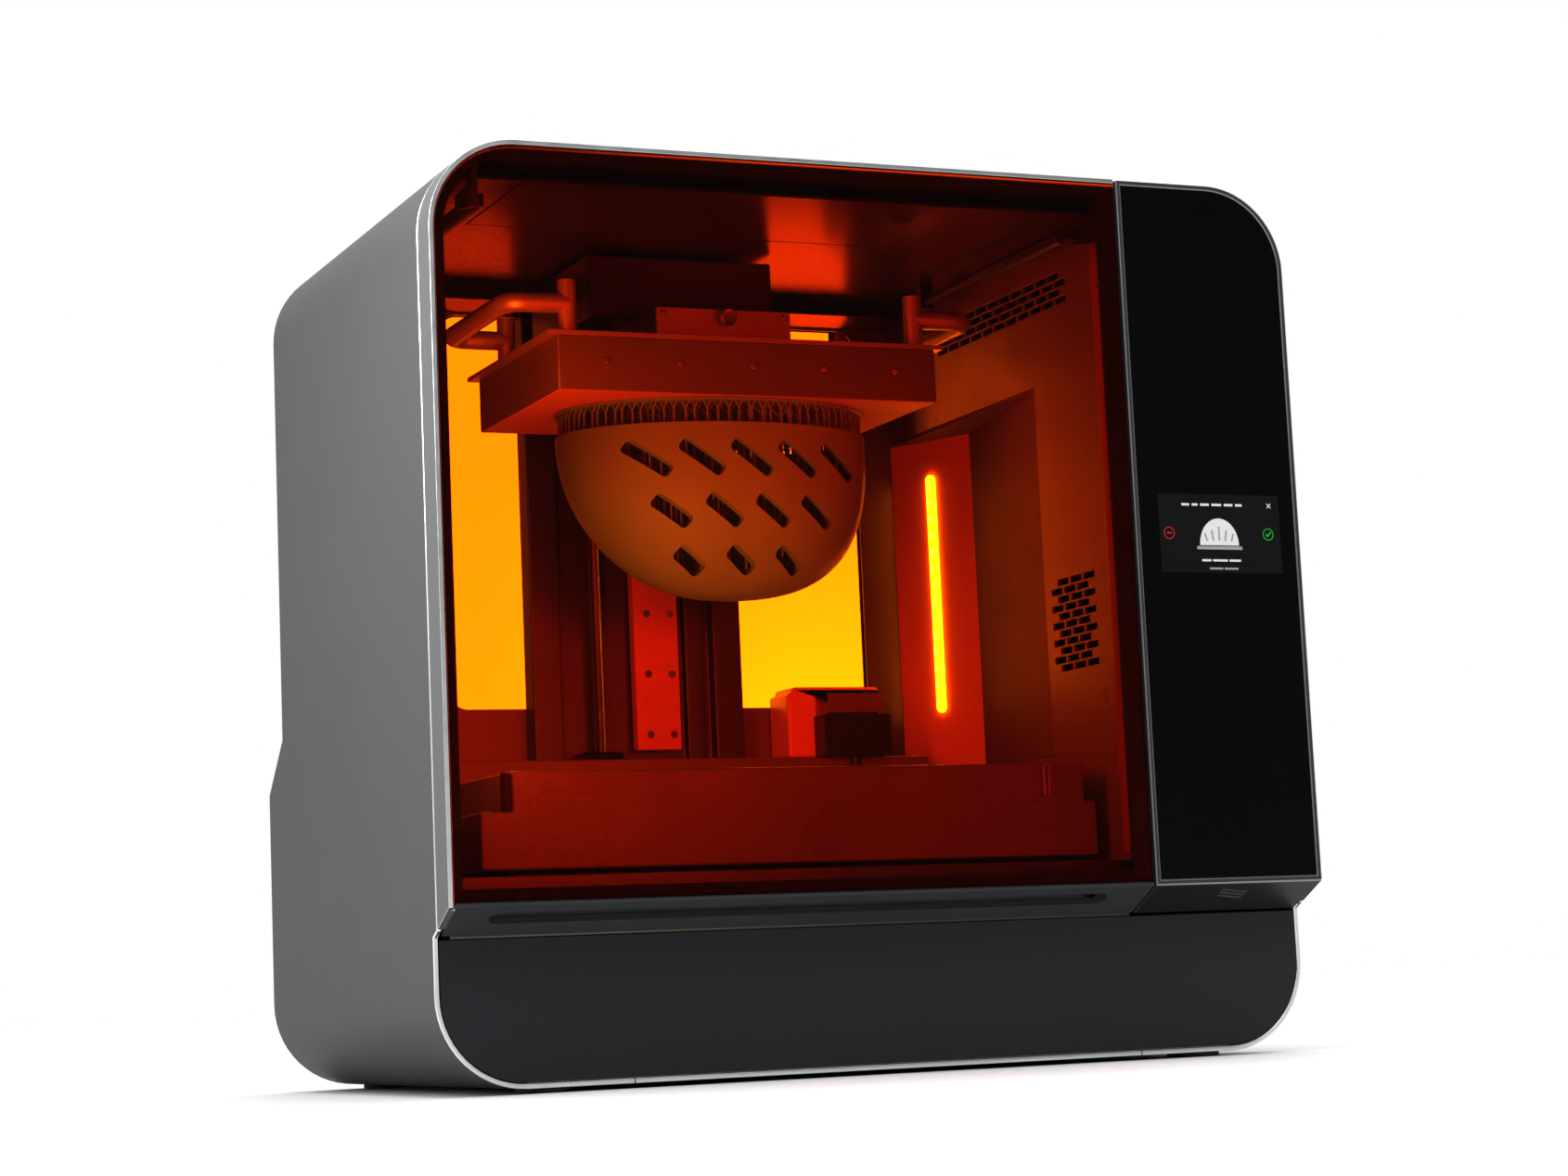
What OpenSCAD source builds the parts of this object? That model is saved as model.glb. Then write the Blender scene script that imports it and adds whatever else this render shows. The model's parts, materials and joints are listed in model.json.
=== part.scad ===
// Desktop resin printer: a painted shell, a tinted cover that hinges at its top edge,
// a screen column, and inside them a heated chamber with a lift, a resin tank and a light unit.
// Origin: middle of the footprint on the table. X to the right, Y to the back, Z up. Millimetres.

/* [Machine] */
// Width across the shell
machine_w = 770; // [760:1:790]
// Depth from the cover's face to the lower back
machine_d = 520; // [515:1:540]
// Height from the table to the top of the shell
machine_h = 740; // [735:1:760]
// Outer radius of the four corners, seen from the front
corner_r = 73; // [66:1:78]
// Thickness of the shell's wall
shell_t = 4; // [3:0.5:5]
// Height of the levelling feet under the shell
foot_h = 4; // [3:0.5:6]

/* [Front] */
// Width of the screen column
column_w = 160.4; // [158:0.2:164]
// Depth of the cover and the column in front of the shell's seam
front_depth = 32; // [30:1:33]
// How far the lower panel stands back from the cover's face
lower_setback = 42; // [40:1:44]
// Height of the cover's lower edge, at its face
cover_low_z = 142.6; // [140:0.2:146]
// Height of the lower panel's top edge
panel_top_z = 119.5; // [117:0.5:120]
// Thickness of the tinted window
window_t = 4; // [3:0.5:4]
// Gap between the cover and its neighbours
gap = 2; // [1.5:0.1:2.5]

/* [Chamber] */
// Height of the chamber's floor
floor_z = 166; // [164:1:168]
// Distance from the shell's top down to the chamber's ceiling
ceiling_drop = 24; // [22:1:24]
// Height of the step at the back of the chamber
deck_z = 284; // [280:1:284]
// Thickness of the sheet-metal liners
liner_t = 3; // [2:0.5:3]
// Distance from the shell's left side to the chamber's left wall
left_wall_inset = 14; // [13:1:16]

/* [Lift] */
// Middle of the build platform, left to right
platform_x = -50; // [-52:1:-48]
// Width of the build platform
platform_w = 350; // [340:1:354]
// Depth of the build platform
platform_d = 210; // [200:1:212]
// Height of the build platform's block
platform_h = 47; // [44:1:48]
// Height of the printing face at rest
platform_z = 573.5; // [570:0.5:574]
// Radius of the lift's screw
screw_r = 5; // [4.5:0.5:5]
// Radius of the round holes that shafts run in, over the shaft's own
running_gap = 0.05; // [0.02:0.01:0.08]

/* [Tank] */
// Height of the tank's rim
tank_rim_z = 250; // [246:1:252]
// Height of the film's upper face
film_z = 180.5; // [180.5:0.5:182]

/* [Cover motion] */
// Radius of the hinge pins
pin_r = 1.5; // [1.2:0.1:1.6]
// Radius of the gas struts
strut_r = 6.5; // [6:0.5:7]

/* [Hidden] */
$fn = 64;
eps = 0.5;

half_w = machine_w / 2;
front_y = -machine_d / 2;
back_y = machine_d / 2;
seam_y = front_y + front_depth;
lower_y = front_y + lower_setback;
upper_back_y = back_y - 49;
step_top_z = 310;
step_low_z = 264;

column_x = half_w - column_w;
cover_x = column_x - 2.6;
bevel_low_z = panel_top_z + 1.5;
bevel_slope = (cover_low_z - bevel_low_z) / lower_setback;
bevel_angle = atan(bevel_slope);
function bevel_z(y) = cover_low_z - bevel_slope * (y - front_y);

pan_x = [-half_w + corner_r + 1, half_w - corner_r - 1];
wall_l = -half_w + left_wall_inset;
wall_r = cover_x;
side_l = -half_w + corner_r - 33;
slope_z = 685;
ceiling_z = machine_h - ceiling_drop;
liner_front_y = seam_y + 2;
back_wall_y = upper_back_y - 11;
deck_y = back_wall_y - 52;

window_x = [-231, 186];
window_z = [335, 700];

lamp_z = [262, 590];
lamp_front_y = -98;
lamp_corner = [wall_r + 40, 110];

screw_x = -98;
screw_y = back_wall_y - 26;
rail_x = [-62, -19];
rail_front_y = back_wall_y - 28;
tower_x = [-160, 46];

platform_y = [-100, -100 + platform_d];
platform_top_z = platform_z + platform_h;
carriage_x = [-162, 11];
carriage_z = [657, ceiling_z - 4];
nut_z = [672, 688];
carrier_x = [-119, 2];
latch_y = -60;
knob_pos = [-58, latch_y - 4, 648];

tank_x = [-335, cover_x - 11];
tank_y = [-190, deck_y - 6];
tank_in_x = [-300, cover_x - 30];
tank_in_y = [-178, tank_y[1] - 8];

groove_x = [-half_w + corner_r - 25, cover_x];
hinge_y = seam_y - gap / 2;
hinge_z = machine_h - 3.5;
hinge_x = [-230, 130];
knuckle_r = 3;
knuckle_half = 7;
strut_x = [side_l + 17.5, wall_r - 17.5];
strut_z = 703;
strut_pin_y = hinge_y + 24.5;

cartridge_w = 110;
cartridge_y = [upper_back_y + 4, upper_back_y + 42];
cartridge_z = [177, 430];
cartridge_x = [-297, 272];

// Box between two corners given as ranges
module slab(x, y, z) {
    translate([x[0], y[0], z[0]]) cube([x[1] - x[0], y[1] - y[0], z[1] - z[0]]);
}

// A 2-D shape drawn in X and Z, given depth from y[0] to y[1]
module along_y(y) {
    translate([0, y[1], 0]) rotate([90, 0, 0]) linear_extrude(y[1] - y[0]) children();
}

// A 2-D shape drawn in Y and Z, given width from x[0] to x[1]
module along_x(x) {
    translate([x[0], 0, 0]) rotate([90, 0, 90]) linear_extrude(x[1] - x[0]) children();
}

// Round bar along X, Y or Z
module bar_x(x, y, z, r) { translate([x[0], y, z]) rotate([0, 90, 0]) cylinder(r = r, h = x[1] - x[0]); }
module bar_y(x, y, z, r) { translate([x, y[1], z]) rotate([90, 0, 0]) cylinder(r = r, h = y[1] - y[0]); }
module bar_z(x, y, z, r) { translate([x, y, z[0]]) cylinder(r = r, h = z[1] - z[0]); }

// Rectangle with round corners
module round_rect(x, z, r) {
    translate([x[0] + r, z[0]]) square([x[1] - x[0] - 2 * r, z[1] - z[0]]);
    translate([x[0], z[0] + r]) square([x[1] - x[0], z[1] - z[0] - 2 * r]);
    for (px = [x[0] + r, x[1] - r], pz = [z[0] + r, z[1] - r]) translate([px, pz]) circle(r = r);
}

// The machine's outline from the front, drawn in by an inset
module outline(inset = 0) {
    round_rect([-half_w + inset, half_w - inset], [foot_h + inset, machine_h - inset], corner_r - inset);
}

// The part of the outline between two ranges
module outline_part(inset, x, z) {
    intersection() {
        outline(inset);
        translate([x[0], z[0]]) square([x[1] - x[0], z[1] - z[0]]);
    }
}

// Everything under the slope that runs back from the front's lower edge
module below_bevel(x) {
    along_x(x) polygon([[front_y - 1, cover_low_z + bevel_slope], [front_y - 1, 0], [seam_y + 1, 0],
        [seam_y + 1, bevel_z(seam_y + 1)]]);
}

// ---------- casing ----------

module hinge_notches() {
    for (x = hinge_x) slab([x - 21, x + 21], [hinge_y - 4.5, hinge_y + 4.5], [hinge_z - 6, machine_h + 1]);
}

module outer_shell() {
    profile = [[seam_y, machine_h + 1], [upper_back_y, machine_h + 1], [upper_back_y, step_top_z],
        [back_y, step_low_z], [back_y, 0], [lower_y, 0], [lower_y, bevel_z(lower_y)],
        [seam_y, bevel_z(seam_y)]];
    color("gray") difference() {
        intersection() {
            along_y([front_y, back_y]) difference() {
                outline(0);
                outline(shell_t);
            }
            along_x([-half_w, half_w]) polygon(profile);
        }
        along_x(groove_x)
            polygon([[seam_y - 1, machine_h - 4], [seam_y - 1, machine_h + 1], [seam_y + 4, machine_h + 1]]);
        hinge_notches();
        feet_holes();
    }
}

foot_pos = [[-290, -190], [290, -190], [-290, 230], [290, 230]];

module feet_holes() {
    for (p = foot_pos) bar_z(p[0], p[1], [0, 30], 5);
}

module base_pan() {
    color("dimgray") difference() {
        slab(pan_x, [lower_y + 6, back_y - 6], [foot_h + shell_t, foot_h + shell_t + 3]);
        feet_holes();
    }
}

module levelling_feet() {
    color("black") for (p = foot_pos) {
        bar_z(p[0], p[1], [0, foot_h], 22);
        bar_z(p[0], p[1], [foot_h - eps, foot_h + 12], 4.9);
    }
}

module front_lower_panel() {
    color("darkslategray") along_y([lower_y, lower_y + 3])
        outline_part(shell_t + 0.8, [-half_w, half_w], [0, panel_top_z]);
}

module rear_panel() {
    color("dimgray") along_y([upper_back_y - 4, upper_back_y]) difference() {
        outline_part(shell_t, [-half_w, half_w], [step_top_z + 4, machine_h]);
        round_rect(window_x, window_z, 20);
    }
}

module cartridge_openings() {
    for (x = cartridge_x)
        slab([x - cartridge_w / 2 - 1, x + cartridge_w / 2 + 1], [cartridge_y[0] - 1, cartridge_y[1] + 1],
            [cartridge_z[0] - 1, machine_h]);
}

fan_pos = [0, 130];
inlet_x = [236, 330];
inlet_z = [56, 92];

module rear_ledge() {
    inner = back_y - 3;
    profile = [[upper_back_y - 4, step_top_z + 4], [upper_back_y, step_top_z + 4], [upper_back_y, step_top_z],
        [back_y, step_low_z], [back_y, foot_h], [inner, foot_h], [inner, step_low_z - 1.4],
        [upper_back_y - 4, step_top_z - 0.5]];
    color("dimgray") difference() {
        intersection() {
            along_y([upper_back_y - 5, back_y]) outline(shell_t);
            along_x([-half_w, half_w]) polygon(profile);
        }
        cartridge_openings();
        for (k = [-4:4]) slab([fan_pos[0] - sqrt(1444 - 64 * k * k), fan_pos[0] + sqrt(1444 - 64 * k * k)],
            [inner - 1, back_y + 1], [fan_pos[1] + 8 * k - 2, fan_pos[1] + 8 * k + 2]);
        slab(inlet_x, [inner - 1, back_y + 1], inlet_z);
    }
}

module rear_window() {
    color("orange") along_y([back_wall_y + liner_t, upper_back_y - 4])
        round_rect([window_x[0] - 9, window_x[1] + 9], [window_z[0] - 9, window_z[1] + 9], 20);
}

// ---------- chamber ----------

module back_liner() {
    color("dimgray") along_y([back_wall_y, back_wall_y + liner_t]) difference() {
        polygon([[wall_l, deck_z], [wall_r, deck_z], [wall_r, ceiling_z], [side_l, ceiling_z], [wall_l, slope_z]]);
        round_rect(window_x, window_z, 16);
    }
}

// The left wall leans in at its top, under the shell's round corner
module left_liner() {
    color("dimgray") along_y([liner_front_y, back_wall_y + liner_t])
        polygon([[wall_l - liner_t, floor_z - 4], [wall_l, floor_z - 4], [wall_l, slope_z], [side_l, ceiling_z],
            [side_l, ceiling_z + liner_t], [side_l - 1.2, ceiling_z + liner_t],
            [wall_l - liner_t, slope_z + 1.4]]);
}

// Rows of brick-shaped air slots through the right wall
brick = [20, 5.6];
brick_pitch = [23.3, 7.5];
module air_slots(y0, z0, columns, rows) {
    for (row = [0:rows - 1], column = [0:columns - 1]) {
        y = y0 + column * brick_pitch[0] + (row % 2) * brick_pitch[0] / 2;
        z = z0 + row * brick_pitch[1];
        slab([wall_r - 1, wall_r + liner_t + 1], [y, y + brick[0]], [z, z + brick[1]]);
    }
}

module right_liner() {
    color("dimgray") difference() {
        slab([wall_r, wall_r + liner_t], [liner_front_y, back_wall_y + liner_t], [floor_z - 4, ceiling_z]);
        slab([wall_r - 1, wall_r + liner_t + 1], [lamp_front_y, back_wall_y + liner_t + 1], lamp_z);
        air_slots(-166, 655, 11, 4);
        air_slots(-189, 334, 3, 11);
    }
}

module ceiling_liner() {
    hatch_x = [-295, 182];
    hatch_y = -78;
    header_z = ceiling_z - 14;
    color("dimgray") {
        difference() {
            slab([side_l, wall_r], [liner_front_y, back_wall_y], [ceiling_z, ceiling_z + liner_t]);
            slab([hatch_x[0], hatch_x[1] + 1.5], [hatch_y, hatch_y + 1.5], [ceiling_z - 1, ceiling_z + 1.5]);
            for (x = hatch_x)
                slab([x, x + 1.5], [liner_front_y - 1, hatch_y], [ceiling_z - 1, ceiling_z + 1.5]);
        }
        slab([side_l, tower_x[0] - 5], [back_wall_y - 60, back_wall_y], [header_z, ceiling_z + eps]);
        slab([tower_x[1] + 5, wall_r], [back_wall_y - 60, back_wall_y], [header_z, ceiling_z + eps]);
    }
}

module floor_liner() {
    step_z = [135, 138];
    sill = [[liner_front_y, floor_z], [liner_front_y, step_z[0]], [lower_y + 2, step_z[0]],
        [lower_y + 2, panel_top_z], [lower_y + 5, panel_top_z], [lower_y + 5, step_z[1]],
        [liner_front_y + 3, step_z[1]], [liner_front_y + 3, floor_z]];
    color("dimgray") {
        difference() {
            slab([wall_l, wall_r], [liner_front_y, deck_y], [floor_z - 4, floor_z]);
            slab([-240, 140], [-95, 105], [floor_z - 5, floor_z + 1]);
        }
        along_x([wall_l, wall_r]) polygon(sill);
    }
}

// Corner panel that holds the lamp: two upright faces between an upper and a lower plate
module lamp_housing() {
    a = [wall_r, lamp_front_y + 0.5];
    b = lamp_corner;
    c = [wall_r - 0.5, back_wall_y - 0.5];
    outer = [[a[0] + 3.8, a[1]], [b[0] + 4.5, b[1] + 1], [c[0] + 4, c[1]]];
    color("maroon") {
        translate([0, 0, lamp_z[0] + 0.5]) linear_extrude(lamp_z[1] - lamp_z[0] - 1)
            polygon([a, b, c, outer[2], outer[1], outer[0]]);
        for (z = [lamp_z[0] + 0.5, lamp_z[1] - 3.5]) translate([0, 0, z]) linear_extrude(3)
            polygon([[a[0] + 0.1, a[1]], [outer[1][0], outer[1][1]], [outer[2][0], outer[2][1]],
                [c[0] + 0.6, c[1]]]);
    }
}

// Position along the lamp housing's rear face, with Y along its outward normal
lamp_dir = atan2(back_wall_y - 0.5 - lamp_corner[1], wall_r - 0.5 - lamp_corner[0]);
module on_lamp_face() {
    mid = [(lamp_corner[0] + wall_r - 0.5) / 2, (lamp_corner[1] + back_wall_y - 0.5) / 2];
    translate([mid[0], mid[1], 0]) rotate([0, 0, lamp_dir]) children();
}

module lamp_strip() {
    color("yellow") on_lamp_face() along_y([0, 2.5]) round_rect([-5, 5], [325, 553], 4.9);
}

module rear_deck() {
    color("dimgray") difference() {
        union() {
            slab([wall_l, wall_r - 0.6], [deck_y, deck_y + 3], [floor_z - 4, deck_z]);
            slab([wall_l, wall_r - 0.6], [deck_y + 3 - eps, back_wall_y], [deck_z - 3, deck_z]);
        }
        bar_z(screw_x, screw_y, [deck_z - 4, deck_z + 1], screw_r + 3);
    }
}

// ---------- lift, fixed side ----------

module z_tower() {
    color("dimgray") {
        slab(tower_x, [back_wall_y - 10, back_wall_y], [deck_z, ceiling_z - 1]);
        for (x = [tower_x[0], tower_x[1] - 28])
            slab([x, x + 28], [back_wall_y - 24, back_wall_y - 10 + eps], [deck_z, ceiling_z - 1]);
        slab([-8, 10], [back_wall_y - 18, back_wall_y - 10 + eps], [deck_z, ceiling_z - 20]);
    }
}

module z_rail() {
    mid = (rail_x[0] + rail_x[1]) / 2;
    z = [deck_z + 10, ceiling_z - 24];
    color("silver") {
        slab(rail_x, [rail_front_y, rail_front_y + 12], z);
        slab([mid - 12, mid + 12], [rail_front_y + 12 - eps, back_wall_y - 10], z);
    }
}

module screw_bearings() {
    color("silver") difference() {
        union() {
            for (z = [deck_z, ceiling_z - 26])
                slab([screw_x - 19, screw_x + 19], [screw_y - 10, back_wall_y - 10], [z, z + 8]);
        }
        bar_z(screw_x, screw_y, [deck_z - 1, ceiling_z], screw_r + running_gap);
    }
}

module z_motor() {
    color("black") difference() {
        union() {
            slab([screw_x - 21, screw_x + 21], [screw_y - 21, screw_y + 21], [200, 246]);
            bar_z(screw_x, screw_y, [246 - eps, 248], 11);
            for (dx = [-15.5, 15.5], dy = [-15.5, 15.5])
                bar_z(screw_x + dx, screw_y + dy, [246 - eps, 250], 3);
        }
        bar_z(screw_x, screw_y, [230, 250], 3);
    }
}

module dispenser() {
    color("firebrick") difference() {
        union() {
            slab([82, 176], [back_wall_y - 44, back_wall_y], [deck_z, deck_z + 60]);
            slab([88, 176], [back_wall_y - 44, back_wall_y], [deck_z + 60 - eps, deck_z + 66]);
        }
        slab([112, 172], [back_wall_y - 45, back_wall_y - 30], [deck_z + 38, deck_z + 60]);
    }
}

module dispenser_nozzle() {
    color("black") {
        slab([108, 176], [deck_y - 16, back_wall_y - 44], [deck_z, deck_z + 38]);
        bar_z(142, deck_y - 8, [deck_z - 10, deck_z + eps], 5);
    }
}

// ---------- services ----------

module cartridge_bays() {
    profile = [[upper_back_y + 1, cartridge_z[0] - 3], [back_y - 4, cartridge_z[0] - 3],
        [back_y - 4, step_low_z - 1.5], [upper_back_y + 1, step_top_z - 7]];
    color("dimgray") difference() {
        for (x = cartridge_x) along_x([x - cartridge_w / 2 - 3, x + cartridge_w / 2 + 3]) polygon(profile);
        cartridge_openings();
    }
}

module power_supply() {
    color("silver") difference() {
        slab([236, 324], [-120, 80], [foot_h + shell_t + 3, 62]);
        for (k = [0:9]) slab([250, 310], [-100 + 16 * k, -94 + 16 * k], [60, 63]);
    }
}

module mainboard() {
    color("darkgreen") {
        slab([240, 372], [-236, -234.4], [190, 380]);
        slab([262, 292], [-234.4 - eps / 10, -230], [300, 330]);
        slab([310, 350], [-234.4 - eps / 10, -228], [220, 250]);
        for (k = [0:3]) slab([250 + 14 * k, 258 + 14 * k], [-234.4 - eps / 10, -226], [194, 206]);
    }
}

rocker_pos = [312, back_y - 6, 74];

module power_inlet() {
    color("black") difference() {
        slab([inlet_x[0] + 0.2, inlet_x[1] - 0.2], [back_y - 30, back_y - 0.5],
            [inlet_z[0] + 0.2, inlet_z[1] - 0.2]);
        along_y([back_y - 24, back_y + 1]) round_rect([243, 271], [62, 86], 3);
        slab([rocker_pos[0] - 9, rocker_pos[0] + 9], [back_y - 18, back_y + 1],
            [rocker_pos[2] - 13, rocker_pos[2] + 13]);
        bar_x([rocker_pos[0] - 12, rocker_pos[0] + 12], rocker_pos[1], rocker_pos[2], 1.5);
    }
    color("silver") for (p = [[257, 78], [250, 70], [264, 70]])
        slab([p[0] - 1, p[0] + 1], [back_y - 25, back_y - 8], [p[1] - 2.5, p[1] + 2.5]);
}

module power_switch() {
    color("black") {
        intersection() {
            bar_x([rocker_pos[0] - 8, rocker_pos[0] + 8], back_y - 16, rocker_pos[2], 15);
            slab([rocker_pos[0] - 8, rocker_pos[0] + 8], [back_y - 9, back_y - 1.4],
                [rocker_pos[2] - 11, rocker_pos[2] + 11]);
        }
        bar_x([rocker_pos[0] - 11.5, rocker_pos[0] + 11.5], rocker_pos[1], rocker_pos[2],
            1.5 - running_gap);
    }
}

module fan_frame() {
    y = [back_y - 24, back_y - 3];
    color("black") difference() {
        slab([fan_pos[0] - 42, fan_pos[0] + 42], y, [fan_pos[1] - 42, fan_pos[1] + 42]);
        bar_y(fan_pos[0], [y[0] - 1, y[1] + 1], fan_pos[1], 38.5);
    }
    color("black") {
        for (a = [0, 90]) translate([fan_pos[0], y[0] + 1.5, fan_pos[1]]) rotate([0, a, 0])
            cube([79, 3, 5], center = true);
        bar_y(fan_pos[0], [y[0] + 3 - eps, y[1] - 4], fan_pos[1], 2);
    }
}

module fan_rotor() {
    y = [back_y - 19.5, back_y - 5];
    color("black") difference() {
        union() {
            bar_y(fan_pos[0], y, fan_pos[1], 16);
            for (k = [0:6]) translate([fan_pos[0], (y[0] + y[1]) / 2, fan_pos[1]])
                rotate([0, k * 360 / 7, 0]) translate([26, 0, 0]) rotate([35, 0, 0])
                cube([22, 1.8, 16], center = true);
        }
        bar_y(fan_pos[0], [y[0] - 1, y[1] - 2], fan_pos[1], 2 + running_gap);
    }
}

// ---------- screen column ----------

glass_x = [column_x + 4.6, half_w - 5];
glass_low_z = cover_low_z + 4.6;

module column_frame() {
    color("dimgray") difference() {
        along_y([front_y, seam_y]) outline_part(0, [column_x, half_w], [0, machine_h]);
        below_bevel([column_x - 1, half_w + 1]);
        difference() {
            along_y([front_y + 7, seam_y + 1]) outline_part(5, [column_x + 4, half_w], [0, machine_h]);
            along_x([column_x - 1, half_w + 1]) polygon([[front_y - 1, cover_low_z + 5], [front_y - 1, 0],
                [seam_y + 2, 0], [seam_y + 2, bevel_z(seam_y) + 4]]);
        }
        along_y([front_y - 1, front_y + 3]) outline_part(5, glass_x, [glass_low_z, machine_h]);
        slab([250, 363], [front_y, front_y + 8], [406, 468]);
        for (k = [-1:1]) translate([305.5, -244, 135 + 1.2]) rotate([-bevel_angle, 0, 0])
            translate([0, 5 * k, 0]) rotate([0, 0, 12]) cube([24, 2, 16], center = true);
    }
    color("dimgray") along_x([column_x, half_w - shell_t - 0.2])
        polygon([[seam_y - eps, bevel_z(seam_y - eps)], [lower_y, bevel_z(lower_y)],
            [lower_y, bevel_z(lower_y) + 4], [seam_y - eps, bevel_z(seam_y) + 4]]);
}

module column_glass() {
    color("black") along_y([front_y + 0.3, front_y + 3])
        outline_part(5.2, [glass_x[0] + 0.2, glass_x[1]], [glass_low_z + 0.2, machine_h]);
}

screen_x = [247, 366];
screen_z = [403, 471];

module touch_screen() {
    color("darkslategray") {
        slab([250.2, 362.8], [front_y + 3, front_y + 7.5], [406.2, 467.8]);
        slab(screen_x, [front_y + 7.2, front_y + 12], screen_z);
    }
}

// ---------- light unit under the tank ----------

rail_y = [-70, 80];

module light_unit_rails() {
    color("silver") {
        for (y = rail_y) bar_x([pan_x[0] + 4, 212], y, 58, 6);
        for (x = [pan_x[0], 206]) difference() {
            slab([x, x + 12], [rail_y[0] - 14, rail_y[1] + 14], [foot_h + shell_t + 3, 70]);
            slab([x - 1, x + 13], [rail_y[0] + 14, rail_y[1] - 14], [30, 71]);
            for (y = rail_y) bar_x([x - 1, x + 13], y, 58, 6 - eps / 10);
        }
    }
}

module light_unit() {
    x = [pan_x[0] + 15, pan_x[0] + 125];
    color("dimgray") difference() {
        union() {
            slab(x, [-112, 122], [48, 132]);
            slab([x[0] + 30, x[1] - 30], [-104, 114], [132 - eps, 150]);
        }
        for (y = rail_y) bar_x([x[0] - 1, x[1] + 1], y, 58, 6 + running_gap);
        slab([x[0] + 38, x[1] - 38], [-98, 108], [147, 151]);
    }
}

module light_unit_motor() {
    color("black") {
        slab([160, 202], [-16, 26], [foot_h + shell_t + 3, 40]);
        bar_z(181, 5, [40 - eps, 46], 2.5);
    }
}

// ---------- lift, moving side ----------

// The carriage's rear part sits higher than its front, so that it stays above the rear deck
module z_carriage() {
    block_x = [rail_x[0] - 8, rail_x[1] + 8];
    rear_y = rail_front_y - 12;
    rear_z = [nut_z[0], carriage_z[1]];
    color("dimgray") {
        slab(carriage_x, [-11, deck_y - 6], carriage_z);
        slab([carriage_x[0] + 36, carriage_x[1]], [deck_y - 6 - eps, rear_y], rear_z);
        difference() {
            slab(block_x, [rear_y - eps, rail_front_y + 8], rear_z);
            slab([rail_x[0] - running_gap, rail_x[1] + running_gap],
                [rail_front_y - running_gap, rail_front_y + 13], [rear_z[0] - 1, rear_z[1] + 1]);
        }
    }
}

module lead_nut() {
    color("gold") difference() {
        union() {
            bar_z(screw_x, screw_y, nut_z, 11);
            slab([screw_x - 14, screw_x + 14], [rail_front_y - 12, screw_y], [nut_z[0], nut_z[0] + 6]);
        }
        bar_z(screw_x, screw_y, [nut_z[0] - 1, nut_z[1] + 1], screw_r + running_gap);
    }
}

module platform_carrier() {
    color("dimgray") difference() {
        slab(carrier_x, [latch_y, 60], [platform_top_z + 8, carriage_z[0]]);
        bar_y(knob_pos[0], [latch_y - 1, latch_y + 14], knob_pos[2], 4.5);
    }
}

module latch_plate() {
    color("silver") difference() {
        slab([carrier_x[0] - 2, carrier_x[1] + 2], [latch_y - 4, latch_y],
            [platform_top_z + 5, carriage_z[0] - 1]);
        bar_y(knob_pos[0], [latch_y - 5, latch_y + 1], knob_pos[2], 4 + running_gap);
    }
}

module lock_knob() {
    color("silver") {
        bar_y(knob_pos[0], [knob_pos[1] - 11, knob_pos[1] - 5], knob_pos[2], 8);
        bar_y(knob_pos[0], [knob_pos[1] - 5 - eps, knob_pos[1] + 9], knob_pos[2], 4);
    }
}

module stage_screws() {
    color("silver") {
        for (k = [-2:2])
            bar_y(platform_x + 1.5 + 67 * k, [platform_y[0] - 1.6, platform_y[0]], platform_z + 26, 3.2);
        for (x = [carrier_x[0] + 4, carrier_x[1] - 4])
            bar_y(x, [latch_y - 5.4, latch_y - 4], carriage_z[0] - 6, 2.6);
    }
}

platform_xr = [platform_x - platform_w / 2, platform_x + platform_w / 2];

module build_platform() {
    color("darkgray") difference() {
        slab(platform_xr, platform_y, [platform_z, platform_top_z]);
        slab([platform_xr[0] + 4, platform_xr[1] - 4], [platform_y[0] + 4, platform_y[1] - 4],
            [platform_z + 10, platform_top_z + 1]);
    }
}

// One carrying handle: two round posts and a bar that loops out past the platform's side
handle_r = 8.5;
handle_y = [platform_y[0] + 12, platform_y[0] + 172];
handle_z = platform_top_z + 29;
module side_handle(side) {
    bend = 16;
    post_x = platform_x + side * 161;
    bar_x0 = platform_x + side * (214 - bend);
    bar_out = platform_x + side * 214;
    for (y = handle_y) {
        bar_z(post_x, y, [platform_top_z + 3, platform_top_z + 49], 8);
        bar_x([min(post_x, bar_x0), max(post_x, bar_x0)], y, handle_z, handle_r);
    }
    bar_y(bar_out, [handle_y[0] + bend, handle_y[1] - bend], handle_z, handle_r);
    for (end = [0, 1]) translate([bar_x0, end == 0 ? handle_y[0] + bend : handle_y[1] - bend, handle_z])
        rotate([0, 0, (side > 0 ? 0 : 90) + (end == 0 ? (side > 0 ? -90 : 90) : 0)])
        rotate_extrude(angle = 90) translate([bend, 0]) circle(r = handle_r);
}

module platform_top() {
    lip = 8;
    color("darkgray") {
        slab([platform_xr[0] - lip, platform_xr[1] + lip], [platform_y[0] - 1, platform_y[1] + lip],
            [platform_top_z, platform_top_z + 4]);
        slab(carrier_x, [latch_y + 2, 58], [platform_top_z + 4 - eps, platform_top_z + 8]);
        side_handle(-1);
        side_handle(1);
    }
}

// A plain vented bowl, cut flat at its front and back, that hangs from a raft on thin posts
print_y = -3;
print_r = 142;
print_half_d = 94;
print_wall = 6;
raft_t = 2;

// The lower half of a ball below the height z, cut flat at the front and the back
module bowl_body(r, half_d, z) {
    intersection() {
        rotate_extrude() intersection() {
            translate([0, z]) circle(r = r);
            translate([0, z - r]) square([r, r]);
        }
        slab([-r - 1, r + 1], [-half_d, half_d], [z - r - 1, z + 1]);
    }
}

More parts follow.
